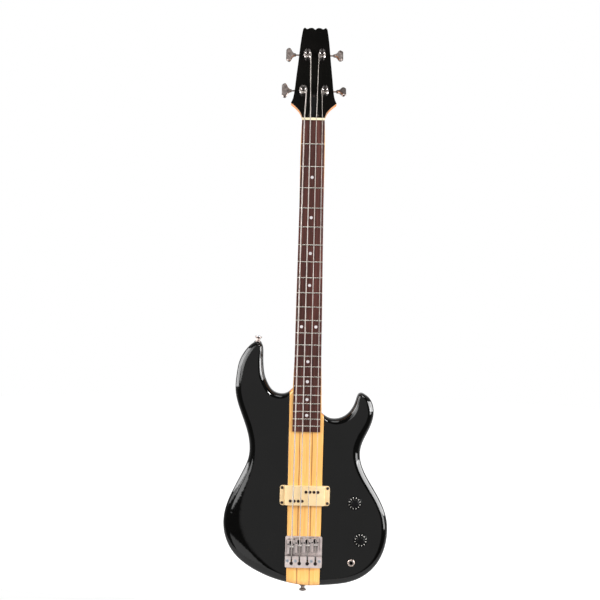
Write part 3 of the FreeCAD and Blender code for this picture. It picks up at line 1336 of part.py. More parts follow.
def jack_nut():
    """Round nut on the jack's barrel."""
    face = CONTROLS["jack"]
    edge = JACK_NUT / 2
    inner = JACK_BARREL_RADIUS + SNUG
    profile = [
        (inner, 0), (JACK_NUT_RADIUS, 0), (JACK_NUT_RADIUS, JACK_NUT - edge),
        (JACK_NUT_RADIUS - edge, JACK_NUT), (inner, JACK_NUT),
    ]
    return turned(profile, face, TO_FRONT)


def pin_places():
    """Seat and outward direction of each strap pin: tail, then upper horn."""
    tail = Vec(0, 0, TAIL_Z + TAIL_SEAT)
    tip = max(BODY_OUTLINE_SHARES, key=lambda row: row[1])
    lean = math.radians(HORN_LEAN)
    out = Vec(math.sin(lean), 0, math.cos(lean))
    horn = Vec(tip[0] * BODY_HALF_WIDTH, 0, TAIL_Z + tip[1] * BODY_LENGTH) - out * HORN_SEAT
    return [(tail, Vec(0, 0, -1)), (horn, out)]


def pin_tool(seat, out):
    """Flat and pilot hole for a strap pin."""
    flat = rod(PIN_FELT_RADIUS + CLEARANCE, seat, seat + out * (PIN_FELT + PIN_BASE + PIN_WAIST))
    return flat.fuse(rod(PIN_SCREW_RADIUS + SNUG, seat + out * OVERRUN, seat - out * PIN_SCREW_LENGTH))


def tail_pin_tool():
    """Flat and pilot hole for the strap pin at the tail."""
    return pin_tool(*pin_places()[0])


def strap_pin(seat, out):
    """Waisted pin that holds a strap."""
    waist = PIN_BASE + PIN_WAIST
    edge = PIN_RIM / 8
    hole = PIN_SCREW_RADIUS + SNUG
    profile = [
        (hole, 0), (PIN_BASE_RADIUS, 0), (PIN_BASE_RADIUS, PIN_BASE / 2), (PIN_WAIST_RADIUS, PIN_BASE),
        (PIN_WAIST_RADIUS, waist - PIN_BASE), (PIN_RIM_RADIUS, waist),
        (PIN_RIM_RADIUS, waist + PIN_RIM - edge),
        (PIN_RIM_RADIUS - edge, waist + PIN_RIM), (hole, waist + PIN_RIM),
    ]
    return turned(profile, seat + out * PIN_FELT, out)


def strap_felt(seat, out):
    """Felt washer under a strap pin."""
    hole = PIN_SCREW_RADIUS + SNUG
    profile = [(hole, 0), (PIN_FELT_RADIUS, 0), (PIN_FELT_RADIUS, PIN_FELT), (hole, PIN_FELT)]
    return turned(profile, seat, out)


def strap_screw(seat, out):
    """Wood screw through a strap pin."""
    top = seat + out * (PIN_FELT + PIN_BASE + PIN_WAIST + PIN_RIM)
    length = PIN_FELT + PIN_BASE + PIN_WAIST + PIN_RIM + PIN_SCREW_LENGTH
    return wood_screw(
        PIN_SCREW_RADIUS, length, PIN_SCREW_HEAD_RADIUS, PIN_SCREW_HEAD, top, out * -1
    )


def ball_ends():
    """Brass ball ends of the strings."""
    half = Vec(BALL_LENGTH / 2, 0, 0)
    return [rod(BALL_RADIUS, ball - half, ball + half) for ball, _, _ in string_lines().values()]


def wood_nodes():
    """Neck laminations and body wings."""
    body = body_blank()
    core, strips, sides = laminations(neck_blank(body))
    bass, treble = split_solids(body.cut(core_slab()))
    horn_tool = pin_tool(*pin_places()[1])
    shared = [pickup_cavity()] + pickup_screws() + bridge_screws()
    return {
        "neck_maple_core": core,
        "neck_maple_sides": sides,
        "neck_walnut_strips": strips,
        "body_wing_bass": bass.cut(shared + [horn_tool]).Solids,
        "body_wing_treble": treble.cut(shared + control_tools()).Solids,
    }


def board_nodes():
    """Fretboard with its frets and dots, nut and headstock facing."""
    blank = board_blank()
    pegs = dot_pegs()
    return {
        "fretboard": [blank.cut(pegs + fret_slots())],
        "frets": [fret(number) for number in range(1, FRET_COUNT + 1)],
        "fret_dots": [blank.common(peg) for peg in pegs],
        "nut": [nut()],
        "headstock_overlay": [headstock_overlay()],
        "truss_rod": truss_rod(),
        "truss_rod_cover": [truss_rod_cover()],
        "small_screws": control_screws() + cover_screws(),
    }


def tuner_nodes():
    """Tuning machines of the four strings."""
    plate = tuner_plate()
    ferrule = tuner_ferrule()
    post = tuner_post()
    wheel = worm_wheel()
    worm = worm_shaft()
    nodes = {"tuner_plates": [], "tuner_ferrules": [], "tuner_screws": tuner_screws()}
    cut_screws = []
    for across, along in plate_screw_places():
        seat = Vec(across, along, -HEAD_THICKNESS - PLATE_THICKNESS - OVERRUN)
        through = Vec(0, 0, PLATE_THICKNESS + 2 * OVERRUN)
        cut_screws.append(rod(SMALL_SCREW_RADIUS + SNUG, seat, seat + through))
    plate = plate.cut(cut_screws)
    for name, side, _, _, _, turn in STRINGS:
        nodes["tuner_plates"].append(on_post(plate, name, side))
        nodes["tuner_ferrules"].append(on_post(ferrule, name, side))
        nodes["tuner_post_" + name] = [on_post(post, name, side)]
        nodes["tuner_gear_" + name] = [on_post(piece, name, side) for piece in wheel]
        nodes["tuner_worm_" + name] = [on_post(worm, name, side)]
        nodes["tuner_button_" + name] = [on_post(tuner_button(turn), name, side)]
    return nodes


def bridge_nodes():
    """Strings, bridge and saddles."""
    nodes = {
        "bridge_base": [bridge_base()],
        "bridge_screws": bridge_screws(),
        "saddle_lock_screws": saddle_lock_screws(),
        "string_ball_ends": ball_ends(),
    }
    for name, _, _, _, _, _ in STRINGS:
        nodes["saddle_" + name] = saddle(name)
        nodes["string_" + name] = [string_tube(name)]
    return nodes


def electric_nodes():
    """Pickup, controls and jack."""
    return {
        "pickup_cover": [pickup_cover()],
        "pickup_poles": pickup_poles(),
        "pickup_coils": pickup_coils(),
        "pickup_base": [pickup_base()],
        "pickup_screws": pickup_screws(),
        "knob_volume": knob("volume"),
        "knob_tone": knob("tone"),
        "pots": [pot("volume"), pot("tone")],
        "pot_nuts": [pot_nut("volume"), pot_nut("tone")],
        "jack_socket": [jack_socket()],
        "jack_nut": [jack_nut()],
        "wiring": wires(),
        "control_cover": [control_cover()],
    }


def pin_nodes():
    """Strap pins with their felts and screws."""
    return {
        "strap_pins": [strap_pin(*place) for place in pin_places()],
        "strap_pin_felts": [strap_felt(*place) for place in pin_places()],
        "strap_pin_screws": [strap_screw(*place) for place in pin_places()],
    }


def main():
    """Write each node of the bass to its own file."""
    os.makedirs("parts", exist_ok=True)
    for group in (wood_nodes, board_nodes, tuner_nodes, bridge_nodes, electric_nodes, pin_nodes):
        for name, solids in group().items():
            shape = solids[0] if len(solids) == 1 else Part.makeCompound(solids)
            print(name, len(solids), "valid" if shape.isValid() else "NOT VALID", round(shape.Volume))
            shape.exportStep(os.path.join("parts", name + ".step"))


main()
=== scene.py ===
"""Looks of a four-string electric bass guitar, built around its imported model."""

import json
import logging
import math
from dataclasses import dataclass
from enum import Enum
from typing import ClassVar, Iterable, Sequence

import bmesh
import bpy
from mathutils import Matrix, Vector

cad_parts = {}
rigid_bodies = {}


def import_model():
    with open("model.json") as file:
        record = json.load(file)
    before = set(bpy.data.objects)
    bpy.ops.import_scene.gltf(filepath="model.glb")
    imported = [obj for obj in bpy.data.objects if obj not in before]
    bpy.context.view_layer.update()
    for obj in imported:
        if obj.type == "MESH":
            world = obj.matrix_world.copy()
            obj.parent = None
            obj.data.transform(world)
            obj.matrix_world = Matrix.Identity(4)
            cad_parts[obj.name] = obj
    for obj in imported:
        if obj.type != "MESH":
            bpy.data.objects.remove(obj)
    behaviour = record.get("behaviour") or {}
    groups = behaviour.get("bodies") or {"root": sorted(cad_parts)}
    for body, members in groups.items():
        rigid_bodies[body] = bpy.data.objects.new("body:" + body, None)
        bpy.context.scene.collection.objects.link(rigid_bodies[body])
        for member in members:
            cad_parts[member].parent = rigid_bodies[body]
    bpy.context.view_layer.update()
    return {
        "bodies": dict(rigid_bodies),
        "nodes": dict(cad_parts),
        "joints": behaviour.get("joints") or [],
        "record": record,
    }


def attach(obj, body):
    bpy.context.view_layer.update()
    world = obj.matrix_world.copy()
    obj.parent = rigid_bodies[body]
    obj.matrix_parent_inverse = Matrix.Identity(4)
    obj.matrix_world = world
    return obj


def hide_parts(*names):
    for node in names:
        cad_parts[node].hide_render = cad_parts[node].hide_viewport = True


LOG = logging.getLogger("bass")
MM = 0.001
ROOT = "bass"

Colour = tuple[float, float, float]
Point = tuple[float, float, float]
Range = tuple[float, float]
Stops = Sequence[tuple[float, Colour]]
Seat = tuple[Vector, Vector]
Socket = bpy.types.NodeSocket

WHITE: Colour = (1.0, 1.0, 1.0)
EVEN: Point = (1.0, 1.0, 1.0)
FRONT = Vector((0.0, -1.0, 0.0))
BACK = Vector((0.0, 1.0, 0.0))


class Slot(Enum):
    """Material slots of the record."""

    MAPLE = "maple"
    WALNUT = "walnut"
    ROSEWOOD = "rosewood"
    LACQUER = "black_lacquer"
    FACING = "black_facing"
    FRET_WIRE = "fret_wire"
    PEARL = "pearl"
    BONE = "bone"
    NICKEL = "nickel"
    STEEL = "steel"
    STRING = "string_steel"
    BRIDGE = "bridge_metal"
    BRASS = "brass"
    CREAM = "cream_plastic"
    COPPER = "copper"
    PLASTIC = "black_plastic"
    FELT = "felt"


class Special(Enum):
    """Finishes beside those of the slots."""

    TICK_PAINT = "tick_paint"
    KNOB_BLACK = "knob_black"
    POLE_MAGNET = "pole_magnet"
    DARK_SCREW = "dark_screw"
    POLISHED = "polished_nickel"
    SADDLE = "saddle_cast"
    SOCKET = "socket_black"
    PALE_SCREW = "pale_screw"
    JACK_RING = "jack_ring"
    DARK_BARREL = "dark_barrel"


class HeadForm(Enum):
    """Form of a screw's head."""

    ROUND = "round"
    COUNTERSUNK = "countersunk"
    CHEESE = "cheese"


class ShaderBench:
    """Node tree of one material, with its Principled shader."""

    def __init__(self, name: str) -> None:
        """Start a plain material.

        Args:
            name: Name of the material.
        """
        self.material = bpy.data.materials.new(name)
        self.material.use_nodes = True
        self.tree = self.material.node_tree
        self.shader = self.tree.nodes["Principled BSDF"]

    def add(self, kind: str, **values: object) -> bpy.types.Node:
        """Add a node.

        Args:
            kind: Node type.
            values: Properties to set on it.

        Returns:
            The node.
        """
        node = self.tree.nodes.new(kind)
        for key, value in values.items():
            setattr(node, key, value)
        return node

    def join(self, source: Socket, target: Socket) -> None:
        """Link two sockets."""
        self.tree.links.new(source, target)

    def constant(self, **values: object) -> None:
        """Set plain values on the shader's own sockets, named with underscores for spaces."""
        for key, value in values.items():
            self.shader.inputs[key.replace("_", " ")].default_value = value

    def places(self, stretch: Point = EVEN) -> Socket:
        """Object coordinates.

        Args:
            stretch: Scale on each axis.

        Returns:
            The vector socket.
        """
        coords = self.add("ShaderNodeTexCoord")
        mapping = self.add("ShaderNodeMapping")
        mapping.inputs["Scale"].default_value = stretch
        self.join(coords.outputs["Object"], mapping.inputs["Vector"])
        return mapping.outputs["Vector"]

    def noise(
        self, where: Socket, scale: float, detail: float = 4.0,
        roughness: float = 0.55, distortion: float = 0.0,
    ) -> Socket:
        """Noise pattern.

        Args:
            where: Coordinates.
            scale: Features per metre.
            detail: Octaves.
            roughness: Weight of the finer octaves.
            distortion: Swirl.

        Returns:
            The factor socket.
        """
        node = self.add("ShaderNodeTexNoise")
        node.inputs["Scale"].default_value = scale
        node.inputs["Detail"].default_value = detail
        node.inputs["Roughness"].default_value = roughness
        node.inputs["Distortion"].default_value = distortion
        self.join(where, node.inputs["Vector"])
        return node.outputs["Fac"]

    def ramp(self, factor: Socket, stops: Stops) -> Socket:
        """Colour ramp.

        Args:
            factor: Where to read it.
            stops: Positions and colours.

        Returns:
            The colour socket.
        """
        node = self.add("ShaderNodeValToRGB")
        elements = node.color_ramp.elements
        while len(elements) < len(stops):
            elements.new(0.5)
        for element, (position, colour) in zip(elements, stops):
            element.position = position
            element.color = (*colour, 1.0)
        self.join(factor, node.inputs["Fac"])
        return node.outputs["Color"]

    def spread(
        self, factor: Socket, low: float, high: float,
        start: float = 0.3, end: float = 0.7,
    ) -> Socket:
        """Map a factor from start..end to low..high.

        Args:
            factor: Socket to map.
            low: Result at the start.
            high: Result at the end.
            start: Lowest factor.
            end: Highest factor.

        Returns:
            The mapped socket.
        """
        node = self.add("ShaderNodeMapRange")
        for key, value in (("From Min", start), ("From Max", end), ("To Min", low), ("To Max", high)):
            node.inputs[key].default_value = value
        self.join(factor, node.inputs["Value"])
        return node.outputs["Result"]

    def blend(
        self, factor: Socket | float, first: Socket,
        second: Socket, mode: str = "MIX",
    ) -> Socket:
        """Mix two colours.

        Args:
            factor: Share of the second.
            first: First colour.
            second: Second colour.
            mode: Blend mode.

        Returns:
            The colour socket.
        """
        node = self.add("ShaderNodeMix", data_type="RGBA", blend_type=mode)
        if isinstance(factor, float):
            node.inputs[0].default_value = factor
        else:
            self.join(factor, node.inputs[0])
        self.join(first, node.inputs[6])
        self.join(second, node.inputs[7])
        return node.outputs[2]

    def relief(self, height: Socket, strength: float, depth: float) -> None:
        """Bump the surface by a height pattern.

        Args:
            height: Pattern.
            strength: Share of the bump.
            depth: Its depth in metres.
        """
        node = self.add("ShaderNodeBump")
        node.inputs["Strength"].default_value = strength
        node.inputs["Distance"].default_value = depth
        self.join(height, node.inputs["Height"])
        before = self.shader.inputs["Normal"].links
        if before:
            self.join(before[0].from_socket, node.inputs["Normal"])
        self.join(node.outputs["Normal"], self.shader.inputs["Normal"])


@dataclass(frozen=True)
class WoodFinish:
    """Wood with grain along the neck."""

    name: str
    dark: Colour
    middle: Colour
    light: Colour
    pore: Colour
    grain: float = 420.0
    stretch: float = 0.035
    figure_size: float = 0.12
    figure_stretch: float = 0.12
    figure_share: float = 0.45
    pore_fineness: float = 3.2
    pore_stretch: float = 0.02
    pore_share: float = 0.35
    pore_depth: float = 0.00005
    gloss: Range = (0.18, 0.32)
    coat: float = 0.6
    shine: float = 0.5
    # Tone of painted shade on the faces turned sideways, if any
    edge: Colour | None = None

    def make(self) -> bpy.types.Material:
        """Build the material.

        Returns:
            The material.
        """
        bench = ShaderBench(self.name)
        along = bench.places((1.0, 1.0, self.stretch))
        fine = bench.noise(along, self.grain, detail=6.0, roughness=0.62, distortion=0.3)
        wide = bench.places((1.0, 1.0, self.figure_stretch))
        broad = bench.noise(wide, self.grain * self.figure_size, detail=3.0, roughness=0.5, distortion=0.6)
        body = bench.ramp(fine, ((0.28, self.dark), (0.5, self.middle), (0.74, self.light)))
        figure = bench.ramp(broad, ((0.3, self.dark), (0.52, self.middle), (0.75, self.light)))
        wood = bench.blend(self.figure_share, body, figure)
        thin = bench.places((1.0, 1.0, self.pore_stretch))
        slits = bench.noise(thin, self.grain * self.pore_fineness, detail=2.0, roughness=0.5)
        pores = bench.spread(slits, 0.0, 1.0, start=0.62, end=0.7)
        inked = bench.ramp(pores, ((0.0, WHITE), (1.0, self.pore)))
        colour = bench.blend(self.pore_share, wood, inked, "MULTIPLY")
        # Painted shade on the faces turned sideways
        if self.edge is not None:
            colour = bench.blend(1.0, colour, self.side_shade(bench), "MULTIPLY")
        bench.join(colour, bench.shader.inputs["Base Color"])
        bench.join(bench.spread(fine, *self.gloss), bench.shader.inputs["Roughness"])
        bench.relief(pores, strength=0.5, depth=-self.pore_depth)
        bench.relief(bench.noise(bench.places(), scale=160.0, detail=2.0), strength=0.05, depth=0.0003)
        bench.constant(Coat_Weight=self.coat, Coat_Roughness=0.08, Specular_IOR_Level=self.shine)
        return bench.material

    def side_shade(self, bench: ShaderBench) -> Socket:
        """Painted shade that darkens the wood on its sawn sides, the faces turned away from the front.

        Args:
            bench: Where to add the nodes.

        Returns:
            The colour socket.
        """
        parts = bench.add("ShaderNodeSeparateXYZ")
        bench.join(bench.add("ShaderNodeTexCoord").outputs["Normal"], parts.inputs[0])
        facing = bench.add("ShaderNodeMath", operation="ABSOLUTE")
        bench.join(parts.outputs["Y"], facing.inputs[0])
        side = bench.spread(facing.outputs[0], 1.0, 0.0, start=0.3, end=0.75)
        return bench.ramp(side, ((0.0, WHITE), (1.0, self.edge)))


@dataclass(frozen=True)
class LacquerFinish:
    """Gloss or satin lacquer with faint orange peel and polishing swirls.

    A flow above zero lets the lacquer level out over edges, within that many metres.
    """

    name: str
    deep: Colour
    wear_and_highlight: Colour
    gloss: Range
    peel: float = 0.04
    flow: float = 0.0

    def make(self) -> bpy.types.Material:
        """Build the material.

        Returns:
            The material.
        """
        bench = ShaderBench(self.name)
        where = bench.places()
        cloud = bench.noise(where, scale=14.0, detail=5.0, roughness=0.6, distortion=0.4)
        drawn = bench.places((1.0, 1.0, 0.35))
        swirl = bench.noise(drawn, scale=900.0, detail=3.0, roughness=0.6, distortion=1.2)
        colour = bench.ramp(cloud, ((0.35, self.deep), (0.8, self.wear_and_highlight)))
        bench.join(colour, bench.shader.inputs["Base Color"])
        haze = bench.add("ShaderNodeMath", operation="MULTIPLY")
        bench.join(cloud, haze.inputs[0])
        bench.join(swirl, haze.inputs[1])
        rough = bench.spread(haze.outputs[0], *self.gloss, start=0.12, end=0.45)
        bench.join(rough, bench.shader.inputs["Roughness"])
        if self.flow > 0.0:
            level = bench.add("ShaderNodeBevel", samples=8)
            level.inputs["Radius"].default_value = self.flow
            bench.join(level.outputs["Normal"], bench.shader.inputs["Normal"])
        ripple = bench.noise(where, scale=260.0, detail=2.0, roughness=0.5)
        bench.relief(ripple, strength=self.peel, depth=0.0004)
        return bench.material


@dataclass(frozen=True)
class MetalFinish:
    """Plated, cast or drawn metal with tarnish and fine working marks; it may carry painted shade in
    recesses and a painted crest highlight.
    """

    name: str
    bright: Colour
    dull: Colour
    gloss: Range
    brush: Point = EVEN
    mark: float = 1800.0
    depth: float = 0.00003
    cloud: float = 90.0
    # Tone of painted shade in recesses, bores and between parts, and the reach of its occlusion
    recess_shade: Colour | None = None
    recess_shade_reach: float = 0.006
    # Level in front of which a painted highlight lightens the metal, with its tone and fade
    crest: float | None = None
    crest_highlight_tone: Colour = (1.0, 0.97, 0.95)
    crest_highlight_fade: float = 0.0012

    def make(self) -> bpy.types.Material:
        """Build the material.

        Returns:
            The material.
        """
        bench = ShaderBench(self.name)
        where = bench.places()
        tarnish = bench.noise(where, self.cloud, detail=5.0, roughness=0.62, distortion=0.5)
        marks = bench.noise(bench.places(self.brush), self.mark, detail=3.0, roughness=0.6)
        colour = bench.ramp(tarnish, ((0.32, self.dull), (0.62, self.bright)))
        # Painted shade: ambient occlusion darkens the colour in recesses, bores and between parts
        if self.recess_shade is not None:
            nooks = bench.add("ShaderNodeAmbientOcclusion", samples=8)
            nooks.inputs["Distance"].default_value = self.recess_shade_reach
            recess_shade_tone = bench.ramp(nooks.outputs["AO"], ((0.3, self.recess_shade), (0.9, WHITE)))
            colour = bench.blend(1.0, colour, recess_shade_tone, "MULTIPLY")
        # Painted highlight in front of the crest's level
        if self.crest is not None:
            colour = self.crest_highlight(bench, where, colour)
        bench.join(colour, bench.shader.inputs["Base Color"])
        bench.join(bench.spread(marks, *self.gloss), bench.shader.inputs["Roughness"])
        bench.relief(marks, strength=0.25, depth=self.depth)
        bench.constant(Metallic=1.0)
        return bench.material

    def crest_highlight(
        self, bench: ShaderBench, where: Socket, colour: Socket,
    ) -> Socket:
        """Painted highlight: brighten the metal in front of the crest's level, where the crests catch the
        light.

        Args:
            bench: Where to add the nodes.
            where: Coordinates.
            colour: Colour of the rest.

        Returns:
            The colour socket.
        """
        parts = bench.add("ShaderNodeSeparateXYZ")
        bench.join(where, parts.inputs[0])
        faded = self.crest + self.crest_highlight_fade
        wear_and_highlight = bench.spread(parts.outputs["Y"], 1.0, 0.0, start=self.crest, end=faded)
        shine = bench.ramp(wear_and_highlight, ((0.0, self.dull), (1.0, self.crest_highlight_tone)))
        return bench.blend(wear_and_highlight, colour, shine)


@dataclass(frozen=True)
class PlasticFinish:
    """Moulded plastic, bone or pearl with cloudy tint and a fine skin."""

    name: str
    light: Colour
    dark: Colour
    gloss: Range
    cloud: float = 70.0
    skin: float = 1400.0
    depth: float = 0.00004
    coat: float = 0.0
    shine: float = 0.5

    def make(self) -> bpy.types.Material:
        """Build the material.

        Returns:
            The material.
        """
        bench = ShaderBench(self.name)
        where = bench.places()
        tint = bench.noise(where, self.cloud, detail=4.0, roughness=0.58, distortion=0.8)
        skin = bench.noise(where, self.skin, detail=3.0, roughness=0.5)
        colour = bench.ramp(tint, ((0.3, self.dark), (0.66, self.light)))
        bench.join(colour, bench.shader.inputs["Base Color"])
        bench.join(bench.spread(skin, *self.gloss), bench.shader.inputs["Roughness"])
        bench.relief(skin, strength=0.2, depth=self.depth)
        bench.constant(Coat_Weight=self.coat, Specular_IOR_Level=self.shine)
        return bench.material


@dataclass(frozen=True)
class FeltFinish:
    """Pressed wool felt."""

    name: str
    light: Colour
    dark: Colour

    def make(self) -> bpy.types.Material:
        """Build the material.

        Returns:
            The material.
        """
        bench = ShaderBench(self.name)
        where = bench.places()
        fuzz = bench.noise(where, scale=2600.0, detail=5.0, roughness=0.7, distortion=1.5)
        colour = bench.ramp(fuzz, ((0.35, self.dark), (0.7, self.light)))
        bench.join(colour, bench.shader.inputs["Base Color"])
        bench.join(bench.spread(fuzz, 0.85, 1.0), bench.shader.inputs["Roughness"])
        bench.relief(fuzz, strength=0.8, depth=0.0003)
        bench.constant(Sheen_Weight=0.4)
        return bench.material


@dataclass(frozen=True)
class WindingFinish:
    """Wire wound round a core, with its turns along the piece's own length."""

    name: str
    bright: Colour
    dull: Colour
    pitch: float
    gloss: Range = (0.28, 0.45)
    # Tone of the painted shade in the grooves between the turns
    groove_shade: Colour = (0.6, 0.57, 0.54)

    def make(self) -> bpy.types.Material:
        """Build the material.

        Returns:
            The material.
        """
        bench = ShaderBench(self.name)
        length = bench.add("ShaderNodeAttribute", attribute_name="along")
        turns = bench.add("ShaderNodeMath", operation="MULTIPLY")
        turns.inputs[1].default_value = 2.0 * math.pi / self.pitch
        wave = bench.add("ShaderNodeMath", operation="SINE")
        bench.join(length.outputs["Fac"], turns.inputs[0])
        bench.join(turns.outputs[0], wave.inputs[0])
        where = bench.places()
        tarnish = bench.noise(where, scale=120.0, detail=4.0, roughness=0.6)
        colour = bench.ramp(tarnish, ((0.3, self.dull), (0.68, self.bright)))
        # Painted shade in the grooves between the turns
        groove = bench.spread(wave.outputs[0], 0.0, 1.0, start=-1.0, end=0.2)
        shade = bench.ramp(groove, ((0.0, self.groove_shade), (1.0, WHITE)))
        bench.join(bench.blend(1.0, colour, shade, "MULTIPLY"), bench.shader.inputs["Base Color"])
        bench.join(bench.spread(tarnish, *self.gloss), bench.shader.inputs["Roughness"])
        bench.relief(wave.outputs[0], strength=0.6, depth=self.pitch * 0.2)
        bench.constant(Metallic=1.0)
        return bench.material


Finish = WoodFinish | LacquerFinish | MetalFinish | PlasticFinish | FeltFinish | WindingFinish


class Workshop:
    """Every finish of the bass, and which piece has which."""

    BRIGHT_CAST: ClassVar[Colour] = (0.99, 0.865, 0.835)
    DULL_CAST: ClassVar[Colour] = (0.82, 0.705, 0.67)
    # Painted shade of the cast bridge and saddles in their recesses
    CAST_RECESS_SHADE: ClassVar[Colour] = (0.02, 0.011, 0.009)
    DRAWN_DOWN: ClassVar[Point] = (1.0, 1.0, 0.12)

    FINISHES: ClassVar[dict[Slot, Finish]] = {
        Slot.MAPLE: WoodFinish(
            "maple_gloss", (0.745, 0.358, 0.09), (0.87, 0.462, 0.131), (0.935, 0.54, 0.186),
            pore=(0.74, 0.52, 0.32), edge=(0.82, 0.58, 0.4),
        ),
        Slot.WALNUT: WoodFinish(
            "walnut_gloss", (0.27, 0.105, 0.028), (0.42, 0.18, 0.05), (0.55, 0.27, 0.09),
            pore=(0.4, 0.28, 0.2),
        ),
        Slot.ROSEWOOD: WoodFinish(
            "rosewood_oiled", (0.011, 0.003, 0.0022), (0.056, 0.0145, 0.0105), (0.155, 0.044, 0.031),
            pore=(0.25, 0.2, 0.18), grain=520.0, stretch=0.022, pore_share=0.75, gloss=(0.42, 0.6),
            coat=0.0, pore_depth=0.00012, shine=0.26,
        ),
        Slot.LACQUER: LacquerFinish(
            "black_lacquer", (0.0013, 0.0013, 0.0012), (0.0024, 0.0023, 0.0022), (0.03, 0.08), flow=0.004,
        ),
        Slot.FACING: LacquerFinish(
            "black_facing", (0.003, 0.0028, 0.0025), (0.0052, 0.0048, 0.0042), (0.06, 0.14), peel=0.05,
        ),
        Slot.FRET_WIRE: MetalFinish(
            "fret_nickel_silver", (0.78, 0.75, 0.68), (0.6, 0.57, 0.5), (0.18, 0.3),
            brush=(0.1, 1.0, 1.0), mark=2600.0,
        ),
        Slot.PEARL: PlasticFinish(
            "pearl_dot", (0.72, 0.68, 0.69), (0.5, 0.465, 0.475), (0.12, 0.25),
            cloud=420.0, skin=2200.0, depth=0.00002, coat=0.4,
        ),
        Slot.BONE: PlasticFinish(
            "nut_bone", (0.84, 0.73, 0.5), (0.75, 0.63, 0.4), (0.25, 0.4),
            cloud=220.0, skin=1800.0, depth=0.00003,
        ),
        Slot.NICKEL: MetalFinish(
            "nickel_plate", (0.35, 0.3, 0.28), (0.12, 0.095, 0.085), (0.26, 0.4), mark=1300.0, cloud=150.0,
        ),
        Slot.STEEL: MetalFinish(
            "screw_steel", (0.5, 0.52, 0.56), (0.3, 0.31, 0.34), (0.2, 0.38), mark=2400.0,
        ),
        Slot.STRING: WindingFinish(
            "string_wound", (0.54, 0.5, 0.475), (0.42, 0.385, 0.36), pitch=0.0005, gloss=(0.38, 0.52),
        ),
        Slot.BRIDGE: MetalFinish(
            "bridge_satin", BRIGHT_CAST, DULL_CAST, (0.34, 0.52), brush=DRAWN_DOWN, mark=1500.0,
            depth=0.00005, recess_shade=CAST_RECESS_SHADE, recess_shade_reach=0.007,
        ),
        Slot.BRASS: MetalFinish(
            "plain_brass", (0.6, 0.4, 0.17), (0.34, 0.2, 0.08), (0.24, 0.42), mark=2200.0,
            recess_shade=(0.02, 0.01, 0.007), recess_shade_reach=0.012,
        ),
        Slot.CREAM: PlasticFinish(
            "cream_cover", (0.825, 0.612, 0.345), (0.75, 0.545, 0.288), (0.16, 0.3),
            cloud=26.0, skin=1100.0, depth=0.00003, coat=0.3,
        ),
        Slot.COPPER: MetalFinish(
            "enamelled_wire", (0.6, 0.24, 0.1), (0.4, 0.14, 0.06), (0.25, 0.4),
            brush=(1.0, 6.0, 1.0), mark=900.0,
        ),
        Slot.PLASTIC: PlasticFinish(
            "black_plastic", (0.008, 0.008, 0.0085), (0.005, 0.005, 0.005), (0.14, 0.26),
            cloud=120.0, skin=1600.0,
        ),
        Slot.FELT: FeltFinish("black_felt", (0.05, 0.05, 0.05), (0.012, 0.012, 0.012)),
    }
    EXTRA: ClassVar[dict[Special, Finish]] = {
        Special.TICK_PAINT: PlasticFinish(
            "tick_paint", (0.8, 0.77, 0.72), (0.64, 0.61, 0.56), (0.5, 0.65), cloud=800.0,
        ),
        Special.KNOB_BLACK: PlasticFinish(
            "knob_black", (0.006, 0.006, 0.0065), (0.004, 0.004, 0.004), (0.3, 0.44),
            cloud=120.0, shine=0.1,
        ),
        Special.POLE_MAGNET: MetalFinish(
            "pole_magnet", (0.09, 0.06, 0.055), (0.04, 0.026, 0.024), (0.35, 0.5),
        ),
        Special.DARK_SCREW: MetalFinish(
            "dark_screw", (0.1, 0.075, 0.068), (0.035, 0.026, 0.024), (0.34, 0.5),
        ),
        Special.POLISHED: MetalFinish(
            "polished_nickel", (0.66, 0.61, 0.59), (0.46, 0.41, 0.39), (0.17, 0.3), mark=1300.0,
            recess_shade=(0.12, 0.08, 0.07), recess_shade_reach=0.004,
        ),
        Special.SADDLE: MetalFinish(
            "saddle_cast", BRIGHT_CAST, DULL_CAST, (0.3, 0.46), brush=DRAWN_DOWN, mark=1500.0,
            depth=0.00005, recess_shade=CAST_RECESS_SHADE, recess_shade_reach=0.007, crest=-0.0326,
        ),
        Special.SOCKET: MetalFinish(
            "socket_black", (0.02, 0.016, 0.015), (0.008, 0.006, 0.006), (0.5, 0.7),
        ),
        Special.PALE_SCREW: MetalFinish(
            "pale_screw", (0.74, 0.77, 0.82), (0.55, 0.58, 0.64), (0.36, 0.52),
        ),
        Special.JACK_RING: MetalFinish(
            "jack_ring", (0.86, 0.72, 0.64), (0.66, 0.53, 0.46), (0.34, 0.48),
        ),
        Special.DARK_BARREL: MetalFinish(
            "dark_barrel", (0.22, 0.2, 0.19), (0.08, 0.07, 0.07), (0.4, 0.6),
        ),
    }
    NODES: ClassVar[dict[Slot, Sequence[str]]] = {
        Slot.MAPLE: ("neck_maple_core", "neck_maple_sides"),
        Slot.WALNUT: ("neck_walnut_strips",),
        Slot.ROSEWOOD: ("fretboard",),
        Slot.LACQUER: ("body_wing_bass", "body_wing_treble"),
        Slot.FACING: ("headstock_overlay",),
        Slot.FRET_WIRE: ("frets",),
        Slot.PEARL: ("fret_dots",),
        Slot.BONE: ("nut",),
        Slot.NICKEL: ("tuner_plates", "tuner_button_", "tuner_worm_", "strap_pins"),
        Slot.STEEL: ("truss_rod", "pot_nuts", "pots", "pickup_base"),
        Slot.BRIDGE: ("bridge_base",),
        Slot.BRASS: ("tuner_gear_", "string_ball_ends"),
        Slot.CREAM: ("pickup_cover",),
        Slot.COPPER: ("pickup_coils",),
        Slot.PLASTIC: ("control_cover", "truss_rod_cover"),
    }
